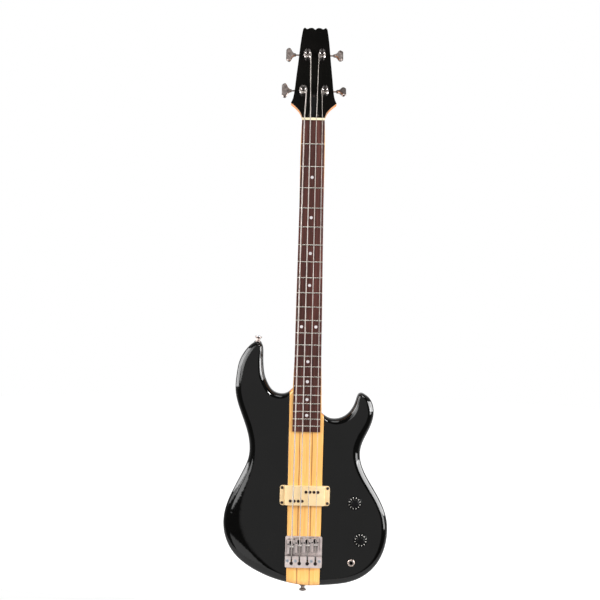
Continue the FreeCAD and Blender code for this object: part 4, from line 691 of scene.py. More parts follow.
    EXTRA_NODES: ClassVar[dict[Special, Sequence[str]]] = {
        Special.KNOB_BLACK: ("knob_volume", "knob_tone"),
        Special.POLE_MAGNET: ("pickup_poles",),
        Special.DARK_BARREL: ("jack_socket",),
        Special.POLISHED: ("tuner_ferrules", "tuner_post_"),
        Special.JACK_RING: ("jack_nut",),
        Special.SADDLE: ("saddle_",),
    }

    def __init__(self) -> None:
        """Make every material once."""
        self.by_slot = {slot: finish.make() for slot, finish in self.FINISHES.items()}
        self.extra = {kind: finish.make() for kind, finish in self.EXTRA.items()}

    def dress(self, nodes: dict[str, bpy.types.Object]) -> None:
        """Give every CAD node its material.

        Args:
            nodes: CAD nodes by name.
        """
        wanted = [(self.by_slot[slot], names) for slot, names in self.NODES.items()]
        wanted += [(self.extra[kind], names) for kind, names in self.EXTRA_NODES.items()]
        for name, node in nodes.items():
            for material, prefixes in wanted:
                if any(name == p or (p.endswith("_") and name.startswith(p)) for p in prefixes):
                    node.data.materials.clear()
                    node.data.materials.append(material)
                    LOG.info("dressed %s in %s", name, material.name)


def place_piece(
    bm: bmesh.types.BMesh, name: str, material: bpy.types.Material, body: str,
    replaces: Iterable[str] = (), crease: float = 35.0,
) -> bpy.types.Object:
    """Turn a finished bmesh into a piece that rides on a body.

    Args:
        bm: Geometry in metres, in the shared frame.
        name: Name of the piece.
        material: Its finish.
        body: CAD body that carries it.
        replaces: CAD nodes that it stands for.
        crease: Angle in degrees above which edges stay sharp.

    Returns:
        The object.
    """
    bmesh.ops.remove_doubles(bm, verts=bm.verts, dist=0.000001)
    bmesh.ops.recalc_face_normals(bm, faces=bm.faces)
    mesh = bpy.data.meshes.new(name)
    bm.to_mesh(mesh)
    bm.free()
    mesh.polygons.foreach_set("use_smooth", [True] * len(mesh.polygons))
    mesh.set_sharp_from_angle(angle=math.radians(crease))
    return enrol(mesh, name, material, body, replaces)


def enrol(
    mesh: bpy.types.Mesh, name: str, material: bpy.types.Material, body: str,
    replaces: Iterable[str] = (),
) -> bpy.types.Object:
    """Link a mesh as a piece of the bass.

    Args:
        mesh: Its mesh.
        name: Name of the piece.
        material: Its finish.
        body: CAD body that carries it.
        replaces: CAD nodes that it stands for.

    Returns:
        The object.
    """
    mesh.materials.clear()
    mesh.materials.append(material)
    piece = bpy.data.objects.new(name, mesh)
    bpy.context.scene.collection.objects.link(piece)
    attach(piece, body)
    if replaces:
        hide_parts(*replaces)
    LOG.info("built %s on %s with %d faces", name, body, len(mesh.polygons))
    return piece


def edges_of(verts: Iterable[bmesh.types.BMVert]) -> list[bmesh.types.BMEdge]:
    """Edges at some vertices, each once and in a fixed order."""
    return list(dict.fromkeys(edge for vert in verts for edge in vert.link_edges))


def aimed(point: Vector, outward: Vector, turn: float = 0.0) -> Matrix:
    """Matrix that stands a piece on a point with its Z outward, turned about that by radians."""
    spin = outward.to_track_quat("Z", "Y").to_matrix().to_4x4()
    return Matrix.Translation(point) @ spin @ Matrix.Rotation(turn, 4, "Z")


@dataclass
class Headstock:
    """Plane of the headstock's maple face, in millimetres."""

    origin: Vector = Vector((0.0, -20.0, 964.75))
    tilt: float = math.radians(12.0)

    def matrix(self) -> Matrix:
        """Matrix from the plane's across, along and out to the frame, in millimetres."""
        return Matrix.Translation(self.origin) @ Matrix.Rotation(math.pi / 2 - self.tilt, 4, "X")

    def point(self, across: float, along: float, out: float) -> Vector:
        """Point in metres, across to the treble side, along from the nut and out of the face."""
        return self.matrix() @ Vector((across, along, out)) * MM

    def way(self, across: float, along: float, out: float) -> Vector:
        """Direction on the headstock."""
        return self.matrix().to_3x3() @ Vector((across, along, out))


@dataclass(frozen=True)
class StringRow:
    """One string and its tuner, in millimetres."""

    name: str
    side: int
    across: float
    along: float
    diameter: float
    setback: float


STRINGS = (
    StringRow("e", -1, 22.0, 57.2, 2.6, 3.2),
    StringRow("a", -1, 14.7, 134.4, 2.1, 0.6),
    StringRow("d", 1, 14.7, 134.4, 1.65, 0.0),
    StringRow("g", 1, 22.0, 57.2, 1.15, -1.2),
)
# Middles of the controls across and up the body
CONTROLS: dict[str, Range] = {"volume": (102.1, 183.55), "tone": (115.6, 108.05), "jack": (97.6, 60.75)}
SADDLE_PITCH = 16.3
SADDLE_LEVEL = 96.65
SADDLE_SHIFT = -1.5
BALL_LEVEL = 63.95


def string_step(index: int) -> float:
    """Place of a string across the neck, in pitches from the middle."""
    return index - (len(STRINGS) - 1) / 2


def on_saddle(index: int, depth: float, ahead: float) -> Vector:
    """Point in millimetres on a saddle's middle line, so far ahead of its crest."""
    across = string_step(index) * SADDLE_PITCH + SADDLE_SHIFT
    return Vector((across, depth, SADDLE_LEVEL - STRINGS[index].setback + ahead))


@dataclass
class StringSet:
    """Four wound strings from their ball ends to their wraps on the posts."""

    finish: bpy.types.Material
    head: Headstock
    nut_pitch: float = 12.1
    ball_depth: float = -23.95
    ball_reach: float = 2.75
    nut_z: float = 962.5
    saddle_rise: float = -32.9
    nut_rise: float = -28.4
    post_radius: float = 5.3
    wrap_gap: float = 0.55
    wrap_base: float = 5.9
    turns: int = 2
    steps: int = 14
    approach: float = 7.0
    fineness: int = 5

    def route(self, index: int, row: StringRow) -> list[Vector]:
        """Control points of one string in millimetres.

        Args:
            index: Place of the string across the neck.
            row: Its sizes.

        Returns:
            The points, from the ball end to the end of the wraps.
        """
        step = string_step(index)
        half = row.diameter / 2
        ball = Vector((step * SADDLE_PITCH, self.ball_depth, BALL_LEVEL))
        crest = Vector((step * SADDLE_PITCH, self.saddle_rise - half, SADDLE_LEVEL - row.setback))
        nut = Vector((step * self.nut_pitch, self.nut_rise - half, self.nut_z))
        ball += (crest - ball).normalized() * self.ball_reach
        wrap = self.wrap(row, nut)
        points = [ball]
        for before, corner, after in ((ball, crest, nut), (crest, nut, wrap[0])):
            points.append(corner + (before - corner).normalized() * self.approach)
            points.append(corner)
            points.append(corner + (after - corner).normalized() * self.approach)
        points.append(wrap[0] + (nut - wrap[0]).normalized() * self.approach / 2)
        return points + wrap

    def wrap(self, row: StringRow, nut: Vector) -> list[Vector]:
        """Control points of the wraps on a post.

        Args:
            row: Sizes of the string.
            nut: Where the string leaves the nut, in millimetres.

        Returns:
            The points in millimetres.
        """
        matrix = self.head.matrix()
        local = matrix.inverted() @ nut
        middle = Vector((row.side * row.across, row.along, 0.0))
        radius = self.post_radius + row.diameter / 2
        gap = Vector((local.x - middle.x, local.y - middle.y))
        wind = -row.side
        start = math.atan2(gap.y, gap.x) + wind * math.acos(radius / gap.length)
        swing = 2 * math.pi / self.steps
        outer = radius * (2 / (1 + math.cos(swing))) ** 0.5
        pitch = row.diameter + self.wrap_gap
        base = self.wrap_base + row.diameter / 2
        points = []
        for number in range(self.turns * self.steps + 1):
            angle = start + wind * swing * number
            rise = base + pitch * number / self.steps
            ring = radius if number == 0 else outer
            spot = middle + Vector((ring * math.cos(angle), ring * math.sin(angle), rise))
            points.append(matrix @ spot)
        return points

    def build(self) -> None:
        """Build all the strings."""
        for index, row in enumerate(STRINGS):
            name = "string_%s_wound" % row.name
            points = [point * MM for point in self.route(index, row)]
            mesh = tube(points, row.diameter * MM / 2, name, self.fineness)
            enrol(mesh, name, self.finish, ROOT, ("string_%s" % row.name,))


def tube(points: Sequence[Vector], radius: float, name: str, fineness: int) -> bpy.types.Mesh:
    """Round tube on a smooth line, with its running length as an attribute.

    Args:
        points: Control points of the line in metres.
        radius: Radius of the tube.
        name: Name of the mesh.
        fineness: Samples per control point.

    Returns:
        The closed mesh.
    """
    curve = bpy.data.curves.new(name + "_line", "CURVE")
    curve.dimensions = "3D"
    curve.resolution_u = fineness
    curve.twist_mode = "MINIMUM"
    spline = curve.splines.new("NURBS")
    spline.points.add(len(points) - 1)
    for control, point in zip(spline.points, points):
        control.co = (*point, 1.0)
    spline.order_u = 3
    spline.use_endpoint_u = True
    holder = bpy.data.objects.new(name + "_line", curve)
    line = bpy.data.meshes.new_from_object(holder)
    lengths = [0.0]
    for first, second in zip(line.vertices, line.vertices[1:]):
        lengths.append(lengths[-1] + (second.co - first.co).length)
    curve.bevel_depth = radius
    curve.bevel_resolution = 3
    mesh = bpy.data.meshes.new_from_object(holder)
    ring = len(mesh.vertices) // len(lengths)
    along = mesh.attributes.new("along", "FLOAT", "POINT")
    along.data.foreach_set("value", [lengths[i // ring] for i in range(len(mesh.vertices))])
    bm = bmesh.new()
    bm.from_mesh(mesh)
    bmesh.ops.holes_fill(bm, edges=[edge for edge in bm.edges if edge.is_boundary], sides=0)
    bmesh.ops.recalc_face_normals(bm, faces=bm.faces)
    bm.to_mesh(mesh)
    bm.free()
    mesh.polygons.foreach_set("use_smooth", [True] * len(mesh.polygons))
    bpy.data.objects.remove(holder)
    bpy.data.curves.remove(curve)
    bpy.data.meshes.remove(line)
    return mesh


@dataclass
class CrossScrews:
    """A group of screws with cross recesses, in millimetres."""

    name: str
    node: str
    finish: bpy.types.Material
    form: HeadForm
    head_radius: float
    head_height: float
    shank_radius: float
    shank_length: float
    # Shares of the head's radius
    arm_share: float = 0.56
    half_arm_share: float = 0.13
    pit_share: float = 0.4
    round_top_share: float = 0.72
    flat_top_share: float = 0.96
    # Width of the recess's floor by its mouth, and its greatest depth by the shank's length
    floor_share: float = 0.6
    deepest_share: float = 0.2
    # Shares of a round head's radius and height on its shoulder
    shoulder_shares: Sequence[Range] = ((0.92, 0.72), (1.0, 0.3))
    # Length and end of the shank's tip by the shank's radius
    tip_length_share: float = 2.0
    tip_end_share: float = 0.3
    sunk_edge: float = 0.1
    cheese_edge: float = 0.15
    slot: Slot = Slot.STEEL
    segments: int = 24
    turn_step: float = 0.65
    crease: float = 30.0

    def one(self, bm: bmesh.types.BMesh, matrix: Matrix) -> None:
        """Add one screw.

        Args:
            bm: Where to add it.
            matrix: Its seat, with Z out of the seat.
        """
        start = len(bm.verts)
        top = 0.0 if self.form is HeadForm.COUNTERSUNK else self.head_height
        arm, half = self.head_radius * self.arm_share, self.head_radius * self.half_arm_share
        mouth = []
        for quarter in range(4):
            turn = Matrix.Rotation(quarter * math.pi / 2, 3, "Z")
            for across, along in ((half, half), (arm, half), (arm, -half)):
                mouth.append(bm.verts.new(turn @ Vector((across, along, top))))
        mouth.sort(key=lambda vert: math.atan2(vert.co.y, vert.co.x))
        cross = bm.faces.new(mouth)
        rim_edges = list(cross.edges)
        pit = bmesh.ops.extrude_discrete_faces(bm, faces=[cross])["faces"][0]
        depth = min(self.head_radius * self.pit_share, self.shank_length * self.deepest_share)
        for vert in pit.verts:
            floor = vert.co * self.floor_share
            vert.co = Vector((floor.x, floor.y, vert.co.z - depth))
        top_share = self.round_top_share if self.form is HeadForm.ROUND else self.flat_top_share
        flat = self.head_radius * top_share
        ring = bmesh.ops.create_circle(bm, segments=self.segments, radius=flat)["verts"]
        for vert in ring:
            vert.co.z = top
        edges = edges_of(ring)
        bmesh.ops.bridge_loops(bm, edges=edges + rim_edges)
        for radius, level in self.profile():
            made = bmesh.ops.extrude_edge_only(bm, edges=edges)["geom"]
            edges = [item for item in made if isinstance(item, bmesh.types.BMEdge)]
            for vert in (item for item in made if isinstance(item, bmesh.types.BMVert)):
                reach = math.hypot(vert.co.x, vert.co.y)
                vert.co = Vector((vert.co.x * radius / reach, vert.co.y * radius / reach, level))
        bmesh.ops.holes_fill(bm, edges=edges, sides=0)
        bm.verts.ensure_lookup_table()
        bmesh.ops.transform(bm, verts=bm.verts[start:], matrix=matrix @ Matrix.Scale(MM, 4))

    def profile(self) -> list[Range]:
        """Outline of a screw below the top of its head.

        Returns:
            Radii and levels down to the end of the shank.
        """
        head, shank = self.head_radius, self.shank_radius
        end = -self.shank_length
        tip = [(shank, end + shank * self.tip_length_share), (shank * self.tip_end_share, end)]
        if self.form is HeadForm.COUNTERSUNK:
            return [(head, -self.sunk_edge), (shank, -(head - shank) - self.sunk_edge)] + tip
        if self.form is HeadForm.CHEESE:
            return [(head, self.head_height - self.cheese_edge), (head, 0.0), (shank, 0.0)] + tip
        shoulder = [(head * wide, self.head_height * high) for wide, high in self.shoulder_shares]
        return shoulder + [(head, 0.0), (shank, 0.0)] + tip

    def build(self, seats: Sequence[Seat]) -> None:
        """Build the whole group as one piece.

        Args:
            seats: Seat points in metres and outward directions.
        """
        bm = bmesh.new()
        for number, (seat, outward) in enumerate(seats):
            self.one(bm, aimed(seat, outward, self.turn_step * number * number))
        place_piece(bm, self.name, self.finish, ROOT, (self.node,), self.crease)


HORN_LEAN = math.radians(6.6)
HORN_RIM = Vector((-101.9323, 0.0, 517.3394))


def strap_pins() -> tuple[Seat, Seat]:
    """Rim middles in millimetres and outward directions of the tail pin and the horn pin."""
    horn_out = Vector((math.sin(HORN_LEAN), 0.0, math.cos(HORN_LEAN)))
    return (Vector((0.0, 0.0, 0.0)), Vector((0.0, 0.0, -1.0))), (HORN_RIM, horn_out)


@dataclass
class Fasteners:
    """Every screw that shows on the bass, in millimetres."""

    shop: Workshop
    head: Headstock
    bridge_steps: Sequence[int] = (-2, -1, 1, 2)
    bridge_block_face: float = -29.0
    bridge_plate_face: float = -22.5
    bridge_plate_level: float = 108.25
    pickup_face: float = -22.5
    pickup_level: float = 197.05
    pickup_across: Range = (-46.4, 46.4)
    pickup_along: Range = (-15.4, 15.4)
    lock_face: float = -26.65
    lock_ahead: float = 9.0
    # Control at each screw of the cover, and the screw's angle round it in degrees
    cover_angles: Sequence[tuple[str, float]] = (
        ("volume", 60.0), ("volume", 160.0), ("tone", 0.0), ("tone", 195.0),
        ("jack", 240.0), ("jack", 330.0),
    )
    cover_ring: float = 20.2
    cover_face: float = 20.0
    rod_cover: Sequence[Range] = ((0.0, 45.5), (-8.9, 4.6), (8.9, 4.6))
    rod_cover_face: float = 3.1
    tuner_face: float = -18.0
    tuner_across: Range = (-6.5, 9.5)
    tuner_along: Range = (-10.0, 14.0)
    pin_screw_out: float = 1.25

    def bridge(self) -> list[Seat]:
        """Place the bridge screws.

        Returns:
            Their seats.
        """
        seats = [
            Vector((step * SADDLE_PITCH, self.bridge_block_face, BALL_LEVEL)) for step in self.bridge_steps
        ]
        seats.append(Vector((0.0, self.bridge_plate_face, self.bridge_plate_level)))
        return [(seat * MM, FRONT) for seat in seats]

    def pickup(self) -> list[Seat]:
        """Place the pickup screws.

        Returns:
            Their seats.
        """
        return [
            (Vector((across, self.pickup_face, self.pickup_level + along)) * MM, FRONT)
            for across in self.pickup_across for along in self.pickup_along
        ]

    def locks(self) -> list[Seat]:
        """Place the lock screws of the saddles.

        Returns:
            The seats of their heads.
        """
        return [
            (on_saddle(index, self.lock_face, self.lock_ahead) * MM, FRONT)
            for index in range(len(STRINGS))
        ]

    def small(self) -> list[Seat]:
        """Place the screws of the control cover and the truss rod's cover.

        Returns:
            Their seats.
        """
        seats = []
        for name, degrees in self.cover_angles:
            across, height = CONTROLS[name]
            turn = math.radians(degrees)
            spot = Vector((
                across + self.cover_ring * math.cos(turn), self.cover_face,
                height + self.cover_ring * math.sin(turn),
            ))
            seats.append((spot * MM, BACK))
        out = self.head.way(0.0, 0.0, 1.0)
        for across, along in self.rod_cover:
            seats.append((self.head.point(across, along, self.rod_cover_face), out))
        return seats

    def tuner(self) -> list[Seat]:
        """Place the screws of the tuner plates.

        Returns:
            Their seats.
        """
        behind = self.head.way(0.0, 0.0, -1.0)
        return [
            (self.head.point(row.side * (row.across + across), row.along + along, self.tuner_face), behind)
            for row in STRINGS for across in self.tuner_across for along in self.tuner_along
        ]

    def pins(self) -> list[Seat]:
        """Seats of the strap pins' screws."""
        return [((rim + out * self.pin_screw_out) * MM, out) for rim, out in strap_pins()]

    def build(self) -> None:
        """Build all the groups."""
        steel = self.shop.by_slot[Slot.STEEL]
        pale = self.shop.extra[Special.PALE_SCREW]
        dark = self.shop.extra[Special.DARK_SCREW]
        black = self.shop.extra[Special.SOCKET]
        CrossScrews(
            "bridge_cross_screws", "bridge_screws", pale, HeadForm.COUNTERSUNK,
            head_radius=3.2, head_height=0.0, shank_radius=1.8, shank_length=22.0,
        ).build(self.bridge())
        CrossScrews(
            "pickup_cross_screws", "pickup_screws", dark, HeadForm.ROUND,
            head_radius=3.0, head_height=1.4, shank_radius=1.6, shank_length=18.0,
        ).build(self.pickup())
        CrossScrews(
            "saddle_clamp_screws", "saddle_lock_screws", black, HeadForm.CHEESE,
            head_radius=3.0, head_height=1.9, shank_radius=1.9, shank_length=6.5,
        ).build(self.locks())
        CrossScrews(
            "cover_cross_screws", "small_screws", dark, HeadForm.ROUND,
            head_radius=2.2, head_height=0.9, shank_radius=1.2, shank_length=9.0,
        ).build(self.small())
        CrossScrews(
            "tuner_cross_screws", "tuner_screws", steel, HeadForm.ROUND,
            head_radius=2.2, head_height=0.9, shank_radius=1.2, shank_length=9.0,
        ).build(self.tuner())
        CrossScrews(
            "strap_cross_screws", "strap_pin_screws", steel, HeadForm.ROUND,
            head_radius=3.4, head_height=1.8, shank_radius=2.1, shank_length=37.0,
        ).build(self.pins())


@dataclass
class SaddleSockets:
    """Hexagon sockets of the saddles' height screws, in millimetres."""

    finish: bpy.types.Material
    radius: float = 1.46
    key: float = 0.86
    key_taper: float = 0.9
    top_share: float = 0.86
    shoulder_share: float = 0.8
    foot: float = -28.5
    height: float = 0.7
    pit: float = 0.6
    across: float = 5.6
    ahead: float = 4.6
    turn_step: float = 0.3
    segments: int = 24
    crease: float = 30.0

    def one(self, bm: bmesh.types.BMesh, matrix: Matrix) -> None:
        """Add one socket.

        Args:
            bm: Where to add it.
            matrix: Its foot, with Z out of the foot.
        """
        start = len(bm.verts)
        rings = []
        for count, radius, level in (
            (6, self.key * self.key_taper, self.height - self.pit),
            (6, self.key, self.height),
            (self.segments, self.radius * self.top_share, self.height),
            (self.segments, self.radius, self.height * self.shoulder_share),
            (self.segments, self.radius, 0.0),
        ):
            ring = bmesh.ops.create_circle(bm, segments=count, radius=radius)["verts"]
            for vert in ring:
                vert.co.z = level
            rings.append(edges_of(ring))
        for inner, outer in zip(rings, rings[1:]):
            bmesh.ops.bridge_loops(bm, edges=inner + outer)
        for ends in (rings[0], rings[-1]):
            bmesh.ops.holes_fill(bm, edges=ends, sides=0)
        bm.verts.ensure_lookup_table()
        bmesh.ops.transform(bm, verts=bm.verts[start:], matrix=matrix @ Matrix.Scale(MM, 4))

    def build(self) -> None:
        """Build a pair of sockets on each saddle."""
        for index, row in enumerate(STRINGS):
            bm = bmesh.new()
            middle = on_saddle(index, self.foot, self.ahead)
            for side in (-1, 1):
                foot = (middle + Vector((side * self.across, 0.0, 0.0))) * MM
                self.one(bm, aimed(foot, FRONT, self.turn_step * (index + side)))
            place_piece(
                bm, "height_sockets_%s" % row.name, self.finish, "saddle_slide_%s" % row.name,
                crease=self.crease,
            )


@dataclass
class StrapFelts:
    """Felt washers under the strap pins, in millimetres."""

    finish: bpy.types.Material
    # Points out from the axis and up from the seat
    section: Sequence[Range] = (
        (2.2, 0.22), (7.2, 0.0), (7.7, 0.42), (7.8, 1.25), (7.65, 2.08), (7.08, 2.5), (2.2, 2.28),
    )
    below_rim: float = 11.75
    steps: int = 40
    crease: float = 60.0

    def build(self) -> None:
        """Build both washers as one piece."""
        bm = bmesh.new()
        for rim, out in strap_pins():
            self.washer(bm, aimed((rim - out * self.below_rim) * MM, out))
        place_piece(
            bm, "strap_felt_washers", self.finish, ROOT, ("strap_pin_felts",), self.crease,
        )

    def washer(self, bm: bmesh.types.BMesh, matrix: Matrix) -> None:
        """Spin one washer.

        Args:
            bm: Where to add it.
            matrix: Its seat, with Z out of the seat.
        """
        start = len(bm.verts)
        verts = [bm.verts.new((across, 0.0, level)) for across, level in self.section]
        edges = [bm.edges.new(pair) for pair in zip(verts, verts[1:] + verts[:1])]
        bmesh.ops.spin(
            bm, geom=verts + edges, cent=(0, 0, 0), axis=(0, 0, 1), angle=2 * math.pi, steps=self.steps,
            use_merge=True,
        )
        bm.verts.ensure_lookup_table()
        bmesh.ops.transform(bm, verts=bm.verts[start:], matrix=matrix @ Matrix.Scale(MM, 4))


@dataclass
class WormThread:
    """Helical ridge on a key shaft, in millimetres."""

    finish: bpy.types.Material
    head: Headstock
    core: float = 1.9
    height: float = 0.45
    pitch: float = 2.12
    length: float = 11.2
    root_share: float = 0.34
    tip_share: float = 0.1
    sunk: float = 0.15
    steps: int = 18
    inset: float = 5.6
    above_post: float = 7.95
    level: float = -23.9
    # Turn that keeps a left-hand worm's crests between its wheel's teeth
    mirrored_turn: float = math.radians(204.0)

    def build(self, row: StringRow) -> None:
        """Spin the ridge along the key shaft of one string.

        Args:
            row: The string; its side of the headstock gives the hand of the ridge.
        """
        bm = bmesh.new()
        root, tip = self.pitch * self.root_share, self.pitch * self.tip_share
        outline = (
            (self.core - self.sunk, -root), (self.core + self.height, -tip),
            (self.core + self.height, tip), (self.core - self.sunk, root),
        )
        verts = [bm.verts.new((across, 0.0, level + root)) for across, level in outline]
        edges = [bm.edges.new(pair) for pair in zip(verts, verts[1:] + verts[:1])]
        turns = (self.length - 2 * root) / self.pitch
        count = int(turns * self.steps)
        bmesh.ops.spin(
            bm, geom=verts + edges, cent=(0, 0, 0), axis=(0, 0, 1),
            dvec=(0, 0, self.pitch / self.steps), angle=row.side * 2 * math.pi * count / self.steps,
            steps=count,
        )
        bmesh.ops.holes_fill(bm, edges=[edge for edge in bm.edges if edge.is_boundary], sides=0)
        start = self.head.point(
            row.side * (row.across - self.inset), row.along + self.above_post, self.level,
        )
        turn = 0.0 if row.side > 0 else self.mirrored_turn
        seat = aimed(start, self.head.way(row.side, 0.0, 0.0), turn)
        bmesh.ops.transform(bm, verts=bm.verts, matrix=seat @ Matrix.Scale(MM, 4))
        place_piece(
            bm, "worm_thread_%s" % row.name, self.finish, "tuner_key_%s" % row.name,
        )


@dataclass
class KnobTicks:
    """Ring of painted ticks on a knob's skirt, in millimetres."""

    finish: bpy.types.Material
    count: int = 12
    inner: float = 9.7
    outer: float = 12.4
    width: float = 1.1
    taper: float = 0.6
    first_turn: float = 0.26
    skirt: tuple[Range, Range] = ((9.6, 3.8), (13.2, 2.6))
    proud: float = 0.05
    thickness: float = 0.15
    foot: float = -20.5

    def level(self, radius: float) -> float:
        """Height of the skirt above the knob's foot at a radius."""
        (near, high), (far, low) = self.skirt
        return high + (low - high) * (radius - near) / (far - near)

    def build(self, name: str, across: float, height: float) -> None:
        """Build one ring.

        Args:
            name: The knob that carries it.
            across: Middle of the knob across the body.
            height: Middle of the knob up the body.
        """
        bm = bmesh.new()
        half = self.width / 2
        outline = (
            (self.inner, -half * self.taper), (self.outer, -half),
            (self.outer, half), (self.inner, half * self.taper),
        )
        for number in range(self.count):
            start = len(bm.verts)
            verts = [
                bm.verts.new((radius, side, self.level(radius) + self.proud)) for radius, side in outline
            ]
            face = bm.faces.new(verts)
            base = bmesh.ops.extrude_face_region(bm, geom=[face])["geom"]
            for vert in (item for item in base if isinstance(item, bmesh.types.BMVert)):
                vert.co.z -= self.thickness
            bm.verts.ensure_lookup_table()
            spin = Matrix.Rotation(2 * math.pi * number / self.count + self.first_turn, 4, "Z")
            bmesh.ops.transform(bm, verts=bm.verts[start:], matrix=spin)
        seat = aimed(Vector((across, self.foot, height)) * MM, FRONT)
        bmesh.ops.transform(bm, verts=bm.verts, matrix=seat @ Matrix.Scale(MM, 4))
        place_piece(bm, "%s_ticks" % name, self.finish, "control_%s" % name)


@dataclass
class Leads:
    """Insulated leads in the control cavity, in millimetres."""

    finish: bpy.types.Material
    # Points across and up the body: pickup to volume, volume to tone, tone to jack
    routes: Sequence[Sequence[Range]] = (
        ((37.6, 197.05), (63.8, 191.6), (90.0, 186.1)),
        ((107.2, 172.2), (112.6, 160.2), (117.3, 134.8), (116.4, 120.4)),
        ((114.1, 95.7), (112.9, 88.5), (107.1, 74.9), (102.1, 67.2)),
    )
    level: float = -10.2
    radius: float = 1.2
    fineness: int = 8

    def build(self) -> None:
        """Build the three leads as one piece."""
        bm = bmesh.new()
        for number, route in enumerate(self.routes):
            points = [Vector((across, self.level, height)) * MM for across, height in route]
            mesh = tube(points, self.radius * MM, "lead_%d" % number, self.fineness)
            bm.from_mesh(mesh)
            bpy.data.meshes.remove(mesh)
        place_piece(bm, "control_leads", self.finish, ROOT, ("wiring",))


@dataclass(frozen=True)
class SoftBox:
    """Bright patch of the surround, in degrees round from the camera's side and up."""

    round_span: Range
    height_span: Range
    strength: float
    softness: float = 1.2


@dataclass(frozen=True)
class Lamp:
    """One soft lamp, in metres and watts."""

    name: str
    place: Point
    size: Range
    power: float
    target: Point = (0.0, 0.0, 0.45)


